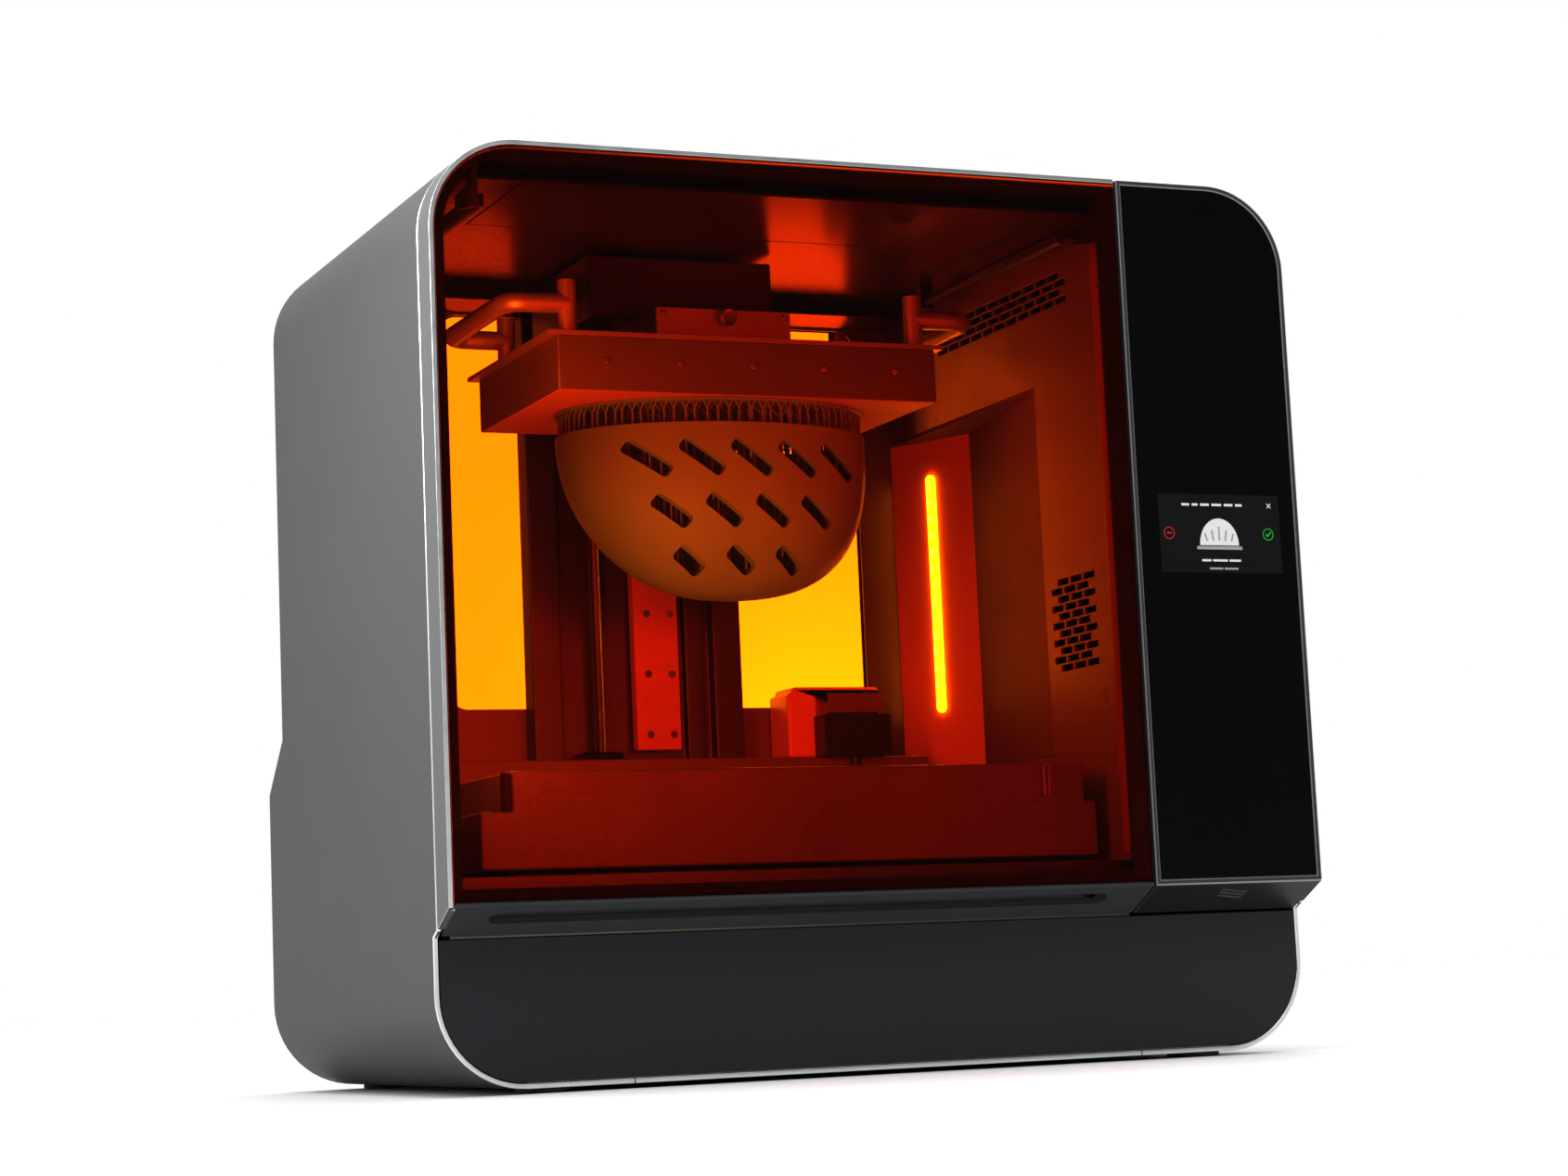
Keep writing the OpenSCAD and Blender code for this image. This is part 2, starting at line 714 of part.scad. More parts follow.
module sample_print() {
    dome_z = platform_z - 21.5;
    post_r = print_r - print_wall / 2;
    post_y = print_half_d - print_wall / 2;
    post_z = [dome_z - eps, platform_z - raft_t + eps];
    color("sienna") translate([platform_x, print_y, 0]) {
        difference() {
            bowl_body(print_r, print_half_d, dome_z);
            bowl_body(print_r - print_wall, print_half_d - print_wall, dome_z + eps);
            for (x = [-60, 0, 60]) bar_y(x, [-print_half_d - 1, 0], dome_z - 60, 14);
        }
        intersection() {
            bar_z(0, 0, [platform_z - raft_t, platform_z], print_r);
            slab([-print_r, print_r], [-print_half_d, print_half_d],
                [platform_z - 2 * raft_t, platform_z + 1]);
        }
        for (a = [-36:18:36], side = [-1, 1]) bar_z(side * post_r * cos(a), post_r * sin(a), post_z, 1.5);
        for (x = [-80:32:80], side = [-1, 1]) bar_z(x, side * post_y, post_z, 1.5);
    }
}

module z_leadscrew() {
    color("silver") {
        bar_z(screw_x, screw_y, [258, ceiling_z - 16], screw_r);
        bar_z(screw_x, screw_y, [232, 258 + eps], 3 - running_gap);
        bar_z(screw_x, screw_y, [253, 268], 9);
    }
}

// ---------- resin tank ----------

module resin_tank() {
    lower = [film_z - 8.5, 218];
    color("darkorange") difference() {
        union() {
            slab(tank_x, tank_y, lower);
            slab([-308, cover_x - 22], tank_y, [lower[1] - eps, tank_rim_z]);
            for (y = [[-150, -130], [122, 134]]) slab([-300, 180], y, [floor_z + 0.1, lower[0] + eps]);
        }
        slab(tank_in_x, tank_in_y, [film_z - 0.5, tank_rim_z + 1]);
        slab([-235, 135], [-105, 115], [lower[0] - 1, film_z]);
        slab([cover_x - 62, cover_x - 56], [tank_y[0] - 1, tank_y[0] + 4], [lower[1] + 4, tank_rim_z + 1]);
    }
}

module tank_film() {
    color("khaki") slab([-245, 145], [-115, 125], [film_z - 0.5, film_z]);
}

module tank_mixer() {
    color("black") {
        slab([-297, -279], [tank_in_y[0] + 2, tank_in_y[1] - 2], [film_z + 2, film_z + 11]);
        slab([-290, -286], [tank_in_y[0] + 6, tank_in_y[1] - 6], [film_z + 0.8, film_z + 2 + eps]);
    }
}

// ---------- resin cartridges ----------

module cartridge(x) {
    w = cartridge_w / 2;
    grip_z = cartridge_z[1] - 40;
    color("black") {
        difference() {
            along_y(cartridge_y) round_rect([x - w, x + w], cartridge_z, 10);
            along_y([cartridge_y[1] - 14, cartridge_y[1] + 1])
                round_rect([x - 36, x + 36], [grip_z, grip_z + 22], 10);
        }
        bar_z(x - 30, (cartridge_y[0] + cartridge_y[1]) / 2, [cartridge_z[1] - eps, cartridge_z[1] + 8], 11);
    }
}

module cartridge_left() { cartridge(cartridge_x[0]); }
module cartridge_right() { cartridge(cartridge_x[1]); }

// ---------- cover ----------

cover_wall = 6;

module cover_frame() {
    color("lightgray") difference() {
        union() {
            along_y([front_y, seam_y - gap]) difference() {
                outline_part(0, [-half_w, cover_x], [cover_low_z - 30, machine_h]);
                outline(cover_wall);
            }
            slab([cover_x - 8, cover_x], [front_y + 6, front_y + 20], [150, machine_h - cover_wall + eps]);
        }
        along_y([front_y - 1, front_y + window_t]) outline(3.5);
        below_bevel([-half_w - 1, cover_x + 1]);
        along_x([groove_x[0], cover_x + 1]) polygon([[seam_y - gap + 1, machine_h - 4],
            [seam_y - gap + 1, machine_h + 1], [seam_y - gap - 4, machine_h + 1]]);
        hinge_notches();
    }
}

module cover_window() {
    color("orangered") along_y([front_y, front_y + window_t])
        outline_part(3.6, [-half_w, cover_x], [cover_low_z + 2.4, machine_h]);
}

module cover_border() {
    color("black") along_y([front_y + window_t, front_y + window_t + 0.8]) difference() {
        outline_part(cover_wall + 0.1, [-half_w, cover_x - 0.1], [150.1, machine_h]);
        intersection() {
            outline(cover_wall + 7);
            translate([-half_w, 156]) square([half_w + cover_x - 15, machine_h]);
        }
    }
}

module handle_strip() {
    z0 = cover_low_z;
    back = lower_y - 2;
    color("dimgray") difference() {
        along_x([-half_w + cover_wall, cover_x]) polygon([[front_y, z0], [back, bevel_z(back)],
            [back, bevel_z(back) + 5], [seam_y - 4, bevel_z(seam_y) + 8], [seam_y - 4, 150],
            [front_y + window_t, 150], [front_y + window_t, z0 + 2.3], [front_y, z0 + 2.3]]);
        translate([0, -242.5, bevel_z(-242.5)]) rotate([-bevel_angle, 0, 0])
            translate([0, 0, -3]) linear_extrude(13) round_rect([-348, 186], [-8.5, 8.5], 8.4);
    }
}

module cover_seal() {
    color("black") along_y([front_y + 7, front_y + 12]) difference() {
        outline_part(cover_wall, [-half_w, cover_x - 8], [150, machine_h]);
        intersection() {
            outline(cover_wall + 5);
            translate([-half_w, 155]) square([half_w + cover_x - 13, machine_h]);
        }
    }
}

// Swan-neck arms that carry the strut pins, and the cover's side of the two hinges
module cover_arms() {
    top = machine_h - cover_wall;
    arm = [[front_y + 20.1, top], [seam_y - 4, top], [seam_y + 2, ceiling_z - 6],
        [strut_pin_y + 7, strut_z + 5], [strut_pin_y + 7, strut_z - 6], [strut_pin_y - 8, strut_z - 9],
        [front_y + 20.1, strut_z - 13]];
    color("dimgray") {
        for (side = [[side_l + 2, 1], [wall_r - 8, -1]]) {
            intersection() {
                along_x([side[0], side[0] + 5.5]) polygon(arm);
                along_y([front_y, back_y]) outline(cover_wall);
            }
            pin_x = side[1] > 0 ? side[0] + 5.5 - eps : side[0] - 1.4;
            bar_x([pin_x, pin_x + 1.4 + eps], strut_pin_y, strut_z, 3);
        }
        for (x = hinge_x) difference() {
            union() {
                bar_x([x - 6.9, x + 6.9], hinge_y, hinge_z, knuckle_r);
                slab([x - 6.9, x + 6.9], [hinge_y - knuckle_r, hinge_y], [top - 3, hinge_z]);
                slab([x - 18, x + 18], [hinge_y - 17, hinge_y - knuckle_r + eps], [top - 3, top]);
            }
            bar_x([x - 8, x + 8], hinge_y, hinge_z, pin_r + running_gap);
        }
    }
}

module hinge_brackets() {
    leaf_z = [hinge_z - knuckle_r, machine_h - shell_t];
    color("silver") for (x = hinge_x) difference() {
        union() {
            for (s = [[-20, -knuckle_half], [knuckle_half, 20]]) {
                bar_x([x + s[0], x + s[1]], hinge_y, hinge_z, knuckle_r);
                slab([x + s[0], x + s[1]], [hinge_y, hinge_y + 6], leaf_z);
            }
            slab([x - 20, x + 20], [hinge_y + 5.5, hinge_y + 36], leaf_z);
        }
        bar_x([x - 21, x + 21], hinge_y, hinge_z, pin_r);
    }
}

module hinge_pins() {
    color("silver") for (x = hinge_x) bar_x([x - 20, x + 20], hinge_y, hinge_z, pin_r);
}

module strut_cylinders() {
    color("black") for (side = [0, 1]) {
        x = strut_x[side];
        eye = side == 0 ? [side_l + 9.1, x + 4] : [x - 4, wall_r - 9.6];
        difference() {
            bar_y(x, [strut_pin_y + 6, -37], strut_z, strut_r);
            bar_y(x, [strut_pin_y + 10, -36], strut_z, 4 + running_gap);
        }
        slab(eye, [strut_pin_y - 7, strut_pin_y + 6 + eps], [strut_z - 5, strut_z + 5]);
    }
}

module strut_rods() {
    color("silver") for (side = [0, 1]) {
        x = strut_x[side];
        bar_y(x, [-160, 69 + eps], strut_z, 4);
        slab([x - 6, x + 6], [69, 81], [strut_z - 6, ceiling_z]);
    }
}

module liner_screws() {
    color("silver") {
        for (z = [173, 286, 471, 654, 708]) bar_x([wall_r - 1, wall_r], liner_front_y + 4, z, 2.6);
        for (z = [173, 286, 471, 654]) bar_x([wall_l, wall_l + 1], liner_front_y + 4, z, 2.6);
        for (x = [-49, -26], k = [0:6]) bar_y(x, [rail_front_y - 0.03, rail_front_y], 308 + 56 * k, 3.6);
    }
}

outer_shell();
base_pan();
levelling_feet();
front_lower_panel();
rear_panel();
rear_ledge();
rear_window();
back_liner();
left_liner();
right_liner();
ceiling_liner();
floor_liner();
lamp_housing();
lamp_strip();
rear_deck();
z_tower();
z_rail();
screw_bearings();
z_motor();
dispenser();
dispenser_nozzle();
cartridge_bays();
power_supply();
mainboard();
power_inlet();
fan_frame();
column_frame();
column_glass();
touch_screen();
light_unit_rails();
light_unit_motor();
hinge_brackets();
hinge_pins();
strut_rods();
liner_screws();
z_carriage();
lead_nut();
platform_carrier();
latch_plate();
stage_screws();
build_platform();
platform_top();
sample_print();
z_leadscrew();
lock_knob();
resin_tank();
tank_film();
tank_mixer();
light_unit();
fan_rotor();
power_switch();
cartridge_left();
cartridge_right();
cover_frame();
cover_window();
cover_border();
handle_strip();
cover_seal();
cover_arms();
strut_cylinders();
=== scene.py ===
"""Looks for a desktop resin printer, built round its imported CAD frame. Metres, same frame as the CAD."""
import json
import math
import random

import bmesh
import bpy
from mathutils import Matrix, Vector


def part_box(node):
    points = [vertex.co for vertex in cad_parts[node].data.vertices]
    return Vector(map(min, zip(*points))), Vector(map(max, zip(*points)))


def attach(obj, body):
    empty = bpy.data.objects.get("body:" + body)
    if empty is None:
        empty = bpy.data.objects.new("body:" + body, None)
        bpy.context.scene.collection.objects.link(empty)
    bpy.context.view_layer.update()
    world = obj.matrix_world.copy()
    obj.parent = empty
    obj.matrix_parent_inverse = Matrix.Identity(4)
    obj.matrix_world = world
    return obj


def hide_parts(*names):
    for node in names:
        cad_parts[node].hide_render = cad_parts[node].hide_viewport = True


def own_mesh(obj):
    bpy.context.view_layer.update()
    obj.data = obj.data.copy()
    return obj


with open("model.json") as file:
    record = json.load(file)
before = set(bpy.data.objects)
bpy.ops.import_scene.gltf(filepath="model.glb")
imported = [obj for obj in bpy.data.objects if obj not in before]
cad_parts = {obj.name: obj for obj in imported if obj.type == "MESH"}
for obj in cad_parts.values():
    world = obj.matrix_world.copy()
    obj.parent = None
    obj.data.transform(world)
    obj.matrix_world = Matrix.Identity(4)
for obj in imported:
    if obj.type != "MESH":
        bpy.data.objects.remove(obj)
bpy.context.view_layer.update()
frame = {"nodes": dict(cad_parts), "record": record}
NODES = frame["nodes"]
BODY_OF = {n: b for b, names in frame["record"]["behaviour"]["bodies"].items() for n in names}
SLOT_OF = {p["node"]: p["material_slot"] for p in frame["record"]["subparts"]}
MM = 0.001
WELD = 2e-6  # distance at which two corners of a CAD mesh are one
rng = random.Random(7)


# ---------------------------------------------------------------- materials

class Shader:
    """A node material, with short calls to add and join nodes."""

    def __init__(self, name):
        self.mat = bpy.data.materials.new(name)
        self.mat.use_nodes = True
        self.tree = self.mat.node_tree
        self.tree.nodes.clear()
        self.out = self.tree.nodes.new("ShaderNodeOutputMaterial")

    def add(self, kind, inputs=None, **attributes):
        node = self.tree.nodes.new("ShaderNode" + kind)
        for key, value in attributes.items():
            setattr(node, key, value)
        for key, value in (inputs or {}).items():
            if hasattr(value, "is_output"):
                self.tree.links.new(value, node.inputs[key])
            else:
                node.inputs[key].default_value = value
        return node

    def coords(self, stretch=(1, 1, 1)):
        pos = self.add("TexCoord").outputs["Object"]
        if stretch == (1, 1, 1):
            return pos
        return self.add("Mapping", {"Vector": pos, "Scale": stretch}).outputs["Vector"]

    def noise(self, scale, detail=3.0, stretch=(1, 1, 1), rough=0.5):
        return self.add("TexNoise", {"Vector": self.coords(stretch), "Scale": scale, "Detail": detail,
                                     "Roughness": rough}).outputs["Fac"]

    def ramp(self, fac, low, high, a=0.3, b=0.7):
        return self.add("MapRange", {"Value": fac, "From Min": a, "From Max": b, "To Min": low,
                                     "To Max": high}).outputs["Result"]

    def mix(self, fac, c1, c2):
        node = self.add("Mix", data_type="RGBA")
        for socket, value in ((node.inputs[0], fac), (node.inputs[6], c1), (node.inputs[7], c2)):
            if hasattr(value, "is_output"):
                self.tree.links.new(value, socket)
            else:
                socket.default_value = value
        return node.outputs[2]

    def end(self, socket):
        self.tree.links.new(socket, self.out.inputs["Surface"])
        return self.mat


def rgba(c, k=1.0):
    """A colour times k, as a shader input."""
    return (min(1.0, c[0] * k), min(1.0, c[1] * k), min(1.0, c[2] * k), 1.0)


def surface(name, color, rough=0.5, metallic=0.0, ior=1.45, vary=0.08, vary_scale=7.0, rough_vary=0.07,
            grain=0.03, grain_scale=1400.0, stretch=(1, 1, 1), speck=0.0, smudge=0.0, fade=None):
    """Solid finish: large soft colour drift, patchy roughness, fine grain, optional specks and smudges.
    fade is (x from, x to, what the colour is multiplied by past it), a painted shade over the part past it."""
    s = Shader(name)
    base = s.mix(s.ramp(s.noise(vary_scale), 0.0, 1.0), rgba(color, 1 - vary), rgba(color, 1 + vary))
    if speck:
        dots = s.ramp(s.noise(grain_scale * 0.7, 1.0), 0.0, 1.0, 0.58, 0.66)
        base = s.mix(dots, base, rgba([c + speck for c in color]))
    if fade:
        # Colour multiplied down past an x: painted shade
        x = s.add("SeparateXYZ", {"Vector": s.coords()}).outputs["X"]
        base = s.mix(s.ramp(x, 0.0, 1.0, fade[0], fade[1]), base, rgba(color, fade[2]))
    r = s.ramp(s.noise(vary_scale * 3.1, 4.0, stretch), rough - rough_vary, rough + rough_vary)
    if smudge:
        r2 = s.ramp(s.noise(vary_scale * 1.3, 5.0, (1, 1, 0.6)), 0.0, smudge, 0.5, 0.75)
        r = s.add("Math", {0: r, 1: r2}, operation="ADD").outputs[0]
    inputs = {"Base Color": base, "Roughness": r, "Metallic": metallic, "IOR": ior}
    if grain:
        inputs["Normal"] = s.add("Bump", {"Strength": 1.0, "Distance": grain * MM,
                                          "Height": s.noise(grain_scale, 2.0, stretch)}).outputs["Normal"]
    return s.end(s.add("BsdfPrincipled", inputs).outputs[0])


def lacquer(name, color, gloss_color, rough, ior, fade):
    """Coat whose gloss has a red colour given to it and a strength that changes by place: a painted reflection. fade
    is (x from, x to, strength of the gloss at the low x).
    """
    s = Shader(name)
    base = s.mix(s.ramp(s.noise(4.0), 0.0, 1.0), rgba(color, 0.92), rgba(color, 1.08))
    diffuse = s.add("BsdfDiffuse", {"Color": base, "Roughness": 0.3}).outputs[0]
    gloss = s.add("BsdfGlossy", {"Color": rgba(gloss_color),
                                 "Roughness": s.ramp(s.noise(9.0, 2.0), rough - 0.01, rough + 0.01)}).outputs[0]
    # Gloss strength set by x: painted reflection, weaker at the low x
    x = s.add("SeparateXYZ", {"Vector": s.coords()}).outputs["X"]
    amount = s.ramp(x, fade[2], 1.0, fade[0], fade[1])
    fac = s.add("Math", {0: s.add("Fresnel", {"IOR": ior}).outputs[0], 1: amount}, operation="MULTIPLY").outputs[0]
    return s.end(s.add("MixShader", {0: fac, 1: diffuse, 2: gloss}).outputs[0])


def clear_sheet(name, tint, ior=1.25, haze=0.02, vary=0.05, painted_backlight_tint=None, gloss=1.0):
    """Clear tinted sheet: coloured see-through with a faint gloss that grows at shallow angles.
    painted_backlight_tint is the paler tint at the sheet's lower right: painted light, standing in for the brighter
    light behind the sheet there. gloss is how bright its gloss is."""
    s = Shader(name)
    color = s.mix(s.ramp(s.noise(4.0), 0.0, 1.0), rgba(tint, 1 - vary), rgba(tint, 1.0))
    # Paler tint towards the lower right is painted light from behind, not a change in the sheet
    if painted_backlight_tint:
        place = s.add("SeparateXYZ", {"Vector": s.coords()})
        low = s.ramp(place.outputs["Z"], 1.0, 0.0, 0.34, 0.56)
        side = s.ramp(place.outputs["X"], 0.2, 1.0, -0.20, 0.12)
        color = s.mix(s.add("Math", {0: low, 1: side}, operation="MULTIPLY").outputs[0], color, rgba(painted_backlight_tint))
    clear = s.add("BsdfTransparent", {"Color": color}).outputs[0]
    shine = s.add("BsdfGlossy", {"Color": rgba((1, 1, 1), gloss),
                                 "Roughness": s.ramp(s.noise(60.0, 4.0), haze, haze * 2.5)}).outputs[0]
    fac = s.add("Fresnel", {"IOR": ior}).outputs[0]
    return s.end(s.add("MixShader", {0: fac, 1: clear, 2: shine}).outputs[0])


def glow(name, color, strength, vary=0.1, scale=40.0):
    """Lit surface with a slight unevenness."""
    s = Shader(name)
    power = s.ramp(s.noise(scale), strength * (1 - vary), strength * (1 + vary))
    return s.end(s.add("Emission", {"Color": rgba(color), "Strength": power}).outputs[0])


M = {
    "shell": surface("satin_shell", (0.056, 0.0565, 0.058), rough=0.45, ior=1.10, metallic=0.1, vary=0.02,
                     vary_scale=3.0, rough_vary=0.02, grain=0.010, grain_scale=2200, speck=0.015),
    "bright_edge": surface("bright_edge", (0.83, 0.84, 0.85), rough=0.30, metallic=1.0, vary=0.03, vary_scale=20,
                           rough_vary=0.03, grain=0),
    "dark_edge": surface("dark_edge", (0.20, 0.203, 0.21), rough=0.33, metallic=0.7, vary=0.03, vary_scale=20,
                         rough_vary=0.03, grain=0),
    "steel_sheet": surface("zinc_sheet", (0.46, 0.46, 0.47), rough=0.38, metallic=1.0, vary=0.18, vary_scale=60,
                           grain=0.01, grain_scale=500),
    "rubber_black": surface("rubber", (0.022, 0.022, 0.022), rough=0.72, vary=0.15, grain=0.05, grain_scale=1800),
    "panel_dark": surface("charcoal_panel", (0.0162, 0.0178, 0.0205), rough=0.38, ior=1.24, vary=0.05, vary_scale=2.5,
                          grain=0.012, grain_scale=2600, speck=0.006, smudge=0.05),
    "rear_metal": surface("rear_panel_coat", (0.055, 0.058, 0.062), rough=0.5, vary=0.08, grain=0.05,
                          grain_scale=1500, speck=0.012),
    # The rear window's paler lower right is painted light for the bright light behind it
    "tinted_window": clear_sheet("amber_sheet", (0.95, 0.71, 0.12), ior=1.6, vary=0.02, painted_backlight_tint=(1.0, 0.99, 0.16),
                                 gloss=0.2),
    "liner": surface("liner_coat", (0.123, 0.070, 0.060), rough=0.34, ior=1.35, vary=0.08, vary_scale=4.0,
                     grain=0.006, grain_scale=1700, smudge=0.08),
    "wall": surface("wall_coat", (0.082, 0.043, 0.036), rough=0.34, ior=1.3, vary=0.08, vary_scale=4.0,
                    grain=0.006, grain_scale=1700, smudge=0.08),
    "lamp_side": surface("lamp_side_coat", (0.075, 0.040, 0.034), rough=0.6, ior=1.08, vary=0.08, vary_scale=4.0,
                         grain=0.006, grain_scale=1700),
    # Light mark colour: a real label on the dispenser, a painted highlight on the tank outline
    "mark": surface("label_and_painted_highlight", (0.50, 0.32, 0.26), rough=0.4, vary=0.06, vary_scale=60, grain=0.002),
    # Lamp housing's front: a far lighter copy of the side colour, painted light on that face
    "lamp_face": surface("lamp_face_painted_light", (0.62, 0.20, 0.16), rough=0.40, vary=0.08, vary_scale=4.0, grain=0.006,
                         grain_scale=1700),
    "lower_column": surface("lower_column_coat", (0.010, 0.010, 0.011), rough=0.36, ior=1.2, vary=0.05, grain=0.010,
                            grain_scale=2400, speck=0.004),
    # Ceiling: tinted gloss that fades towards the left paints the reflected patch
    "ceiling": lacquer("ceiling_coat_painted_reflection", (0.016, 0.013, 0.011), (1.0, 0.40, 0.25), 0.24, 1.17, (-0.19, -0.09, 0.45)),
    # Back wall: its part past x 0.16 is darkened, a painted shade
    "back_wall": surface("back_wall_coat_painted_shade", (0.123, 0.070, 0.060), rough=0.34, ior=1.35, vary=0.08, vary_scale=4.0,
                         grain=0.006, grain_scale=1700, fade=(0.135, 0.160, 0.28)),
    # Build platform's underside: a lighter red copy of its metal, painted light from below
    "platform_under": surface("platform_underside_painted_light", (0.50, 0.24, 0.20), rough=0.6, ior=1.15, vary=0.08,
                              vary_scale=14, grain=0.008, grain_scale=800),
    "dispenser_coat": surface("dispenser_coat", (0.75, 0.22, 0.17), rough=0.36, vary=0.06, vary_scale=6.0,
                              grain=0.006, grain_scale=1700),
    "lamp": glow("lamp_diffuser", (1.0, 0.9, 0.05), 26.0),
    "lamp_dot": glow("lamp_dot", (1.0, 1.0, 0.25), 60.0),
    "anodised": surface("dark_anodised", (0.045, 0.036, 0.036), rough=0.36, metallic=0.6, vary=0.08, grain=0,
                        stretch=(1, 1, 0.1)),
    "latch_coat": surface("latch_coat", (0.20, 0.17, 0.14), rough=0.42, metallic=0.5, vary=0.06, vary_scale=30,
                          grain=0.006, grain_scale=900),
    "bright_steel": surface("ground_steel", (0.60, 0.60, 0.61), rough=0.24, metallic=1.0, vary=0.06, vary_scale=30,
                            grain=0.006, grain_scale=900, stretch=(1, 1, 0.08)),
    "black_plastic": surface("black_moulding", (0.022, 0.022, 0.024), rough=0.48, vary=0.08, grain=0.03,
                             grain_scale=1600, speck=0.004),
    "grey_plastic": surface("grey_moulding", (0.15, 0.12, 0.115), rough=0.45, vary=0.06, grain=0.03,
                            grain_scale=1600),
    "board": surface("solder_mask", (0.012, 0.11, 0.04), rough=0.35, vary=0.25, vary_scale=160, grain=0.02,
                     grain_scale=700),
    "column_plastic": surface("column_coat", (0.030, 0.031, 0.034), rough=0.36, ior=1.25, vary=0.05, grain=0.012,
                              grain_scale=2400, speck=0.008),
    "black_glass": surface("black_glass", (0.0022, 0.0022, 0.0023), rough=0.07, ior=1.2, vary=0.3, vary_scale=2.0,
                           grain=0.001, grain_scale=20, rough_vary=0.02, smudge=0.05),
    "screen": surface("screen_off", (0.006, 0.0065, 0.007), rough=0.12, ior=1.35, vary=0.1, grain=0.001,
                      grain_scale=3000, rough_vary=0.02),
    "bronze": surface("bronze", (0.52, 0.36, 0.15), rough=0.33, metallic=1.0, vary=0.12, vary_scale=90,
                      grain=0.008, grain_scale=900, stretch=(1, 1, 6)),
    "cast_alloy": surface("blasted_casting", (0.52, 0.42, 0.38), rough=0.38, metallic=0.7, vary=0.07,
                          vary_scale=25, grain=0.02, grain_scale=1100),
    "platform_alloy": surface("machined_alloy", (0.20, 0.185, 0.18), rough=0.36, metallic=0.6, vary=0.07,
                              vary_scale=14, grain=0.008, grain_scale=800, stretch=(0.08, 1, 1)),
    "printed_resin": surface("printed_resin", (0.245, 0.270, 0.245), rough=0.5, vary=0.07, vary_scale=14,
                             grain=0.02, grain_scale=9000, stretch=(0.02, 0.02, 1)),
    "tank_plastic": surface("tank_moulding", (0.064, 0.058, 0.050), rough=0.30, ior=1.35, vary=0.06, vary_scale=5,
                            grain=0.01, grain_scale=1500),
    "film": clear_sheet("clear_film", (0.97, 0.95, 0.88), ior=1.35),
    "cover_metal": surface("cover_coat", (0.078, 0.0785, 0.080), rough=0.42, ior=1.14, metallic=0.1, vary=0.02,
                           vary_scale=3.0, rough_vary=0.02, grain=0.010, grain_scale=2200, speck=0.015),
    "cover_tint": clear_sheet("orange_acrylic", (0.96, 0.35, 0.08), ior=1.2, vary=0.02),
    "border": surface("printed_border", (0.004, 0.004, 0.004), rough=0.3, vary=0.2, grain=0.004),
    "strip": surface("strip_coat", (0.031, 0.032, 0.035), rough=0.38, ior=1.2, vary=0.05, grain=0.012,
                     grain_scale=2400, speck=0.008),
    "cartridge": surface("cartridge_moulding", (0.025, 0.025, 0.028), rough=0.42, vary=0.1, grain=0.06,
                         grain_scale=900),
}


# ---------------------------------------------------------------- making pieces

def mesh_object(name, bm, material, body, smooth=35.0, extra=()):
    """A finished mesh piece that rides on a body."""
    mesh = bpy.data.meshes.new(name)
    bm.normal_update()
    bm.to_mesh(mesh)
    bm.free()
    for p in mesh.polygons:
        p.use_smooth = True
    mesh.set_sharp_from_angle(angle=math.radians(smooth))
    ob = bpy.data.objects.new(name, mesh)
    bpy.context.scene.collection.objects.link(ob)
    for m in (material,) + tuple(extra):
        mesh.materials.append(m)
    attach(ob, body)
    return ob


def even_normals(ob):
    """Keeps large flat faces flat next to their rounded edges."""
    m = ob.modifiers.new("even_normals", "WEIGHTED_NORMAL")
    m.keep_sharp = True


def soft_copy(node, width, segments=2, material=None, edge_material=None, face_material=None, clamp=True,
              outer_material=None, edge_rule=None, fillets=True):
    """A copy of a CAD node with its coplanar faces joined and its edges rounded by width millimetres.
    face_material is (material, test on a face) for faces that get their own finish, which on some pieces is painted
    light. edge_rule takes the middle of a rounded edge's face and gives its material: 0 the body's, 1 edge_material,
    3 outer_material."""
    bm = bmesh.new()
    bm.from_mesh(NODES[node].data)
    bmesh.ops.remove_doubles(bm, verts=bm.verts, dist=WELD)
    bmesh.ops.dissolve_limit(bm, angle_limit=math.radians(0.5), verts=bm.verts, edges=bm.edges)
    for f in bm.faces:
        f.material_index = 0
    bm.normal_update()
    if face_material:
        for f in bm.faces:
            if face_material[1](f):
                f.material_index = 2
    if width:
        sharp = [e for e in bm.edges if len(e.link_faces) == 2 and e.calc_face_angle(0.0) > math.radians(28)
                 and (e.is_convex or fillets)]
        bmesh.ops.bevel(bm, geom=sharp, offset=width * MM, offset_type="OFFSET", segments=segments, profile=0.5,
                        affect="EDGES", clamp_overlap=clamp, material=1 if edge_material else -1)
        if edge_rule:
            for f in bm.faces:
                if f.material_index == 1:
                    f.material_index = edge_rule(f.calc_center_median())
    base = material or M[SLOT_OF[node]]
    ob = mesh_object(node + "_skin", bm, base, BODY_OF[node],
                     extra=(edge_material or base, face_material[0] if face_material else base,
                            outer_material or base))
    even_normals(ob)
    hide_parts(node)
    return ob


def join_rings(bm, rings):
    """Faces between each ring of corners and the next."""
    for a, b in zip(rings, rings[1:]):
        for i in range(len(a)):
            j = (i + 1) % len(a)
            bm.faces.new((a[i], a[j], b[j], b[i]))


def add_rod(bm, a, b, r, sides=5):
    """Thin closed rod between two points."""
    a, b = Vector(a), Vector(b)
    d = (b - a).normalized()
    u = d.orthogonal().normalized()
    v = d.cross(u)
    rings = []
    for p in (a, b):
        rings.append([bm.verts.new(p + (u * math.cos(t) + v * math.sin(t)) * r)
                      for t in [2 * math.pi * k / sides for k in range(sides)]])
    join_rings(bm, rings)
    bm.faces.new(rings[0][::-1])
    bm.faces.new(rings[1])


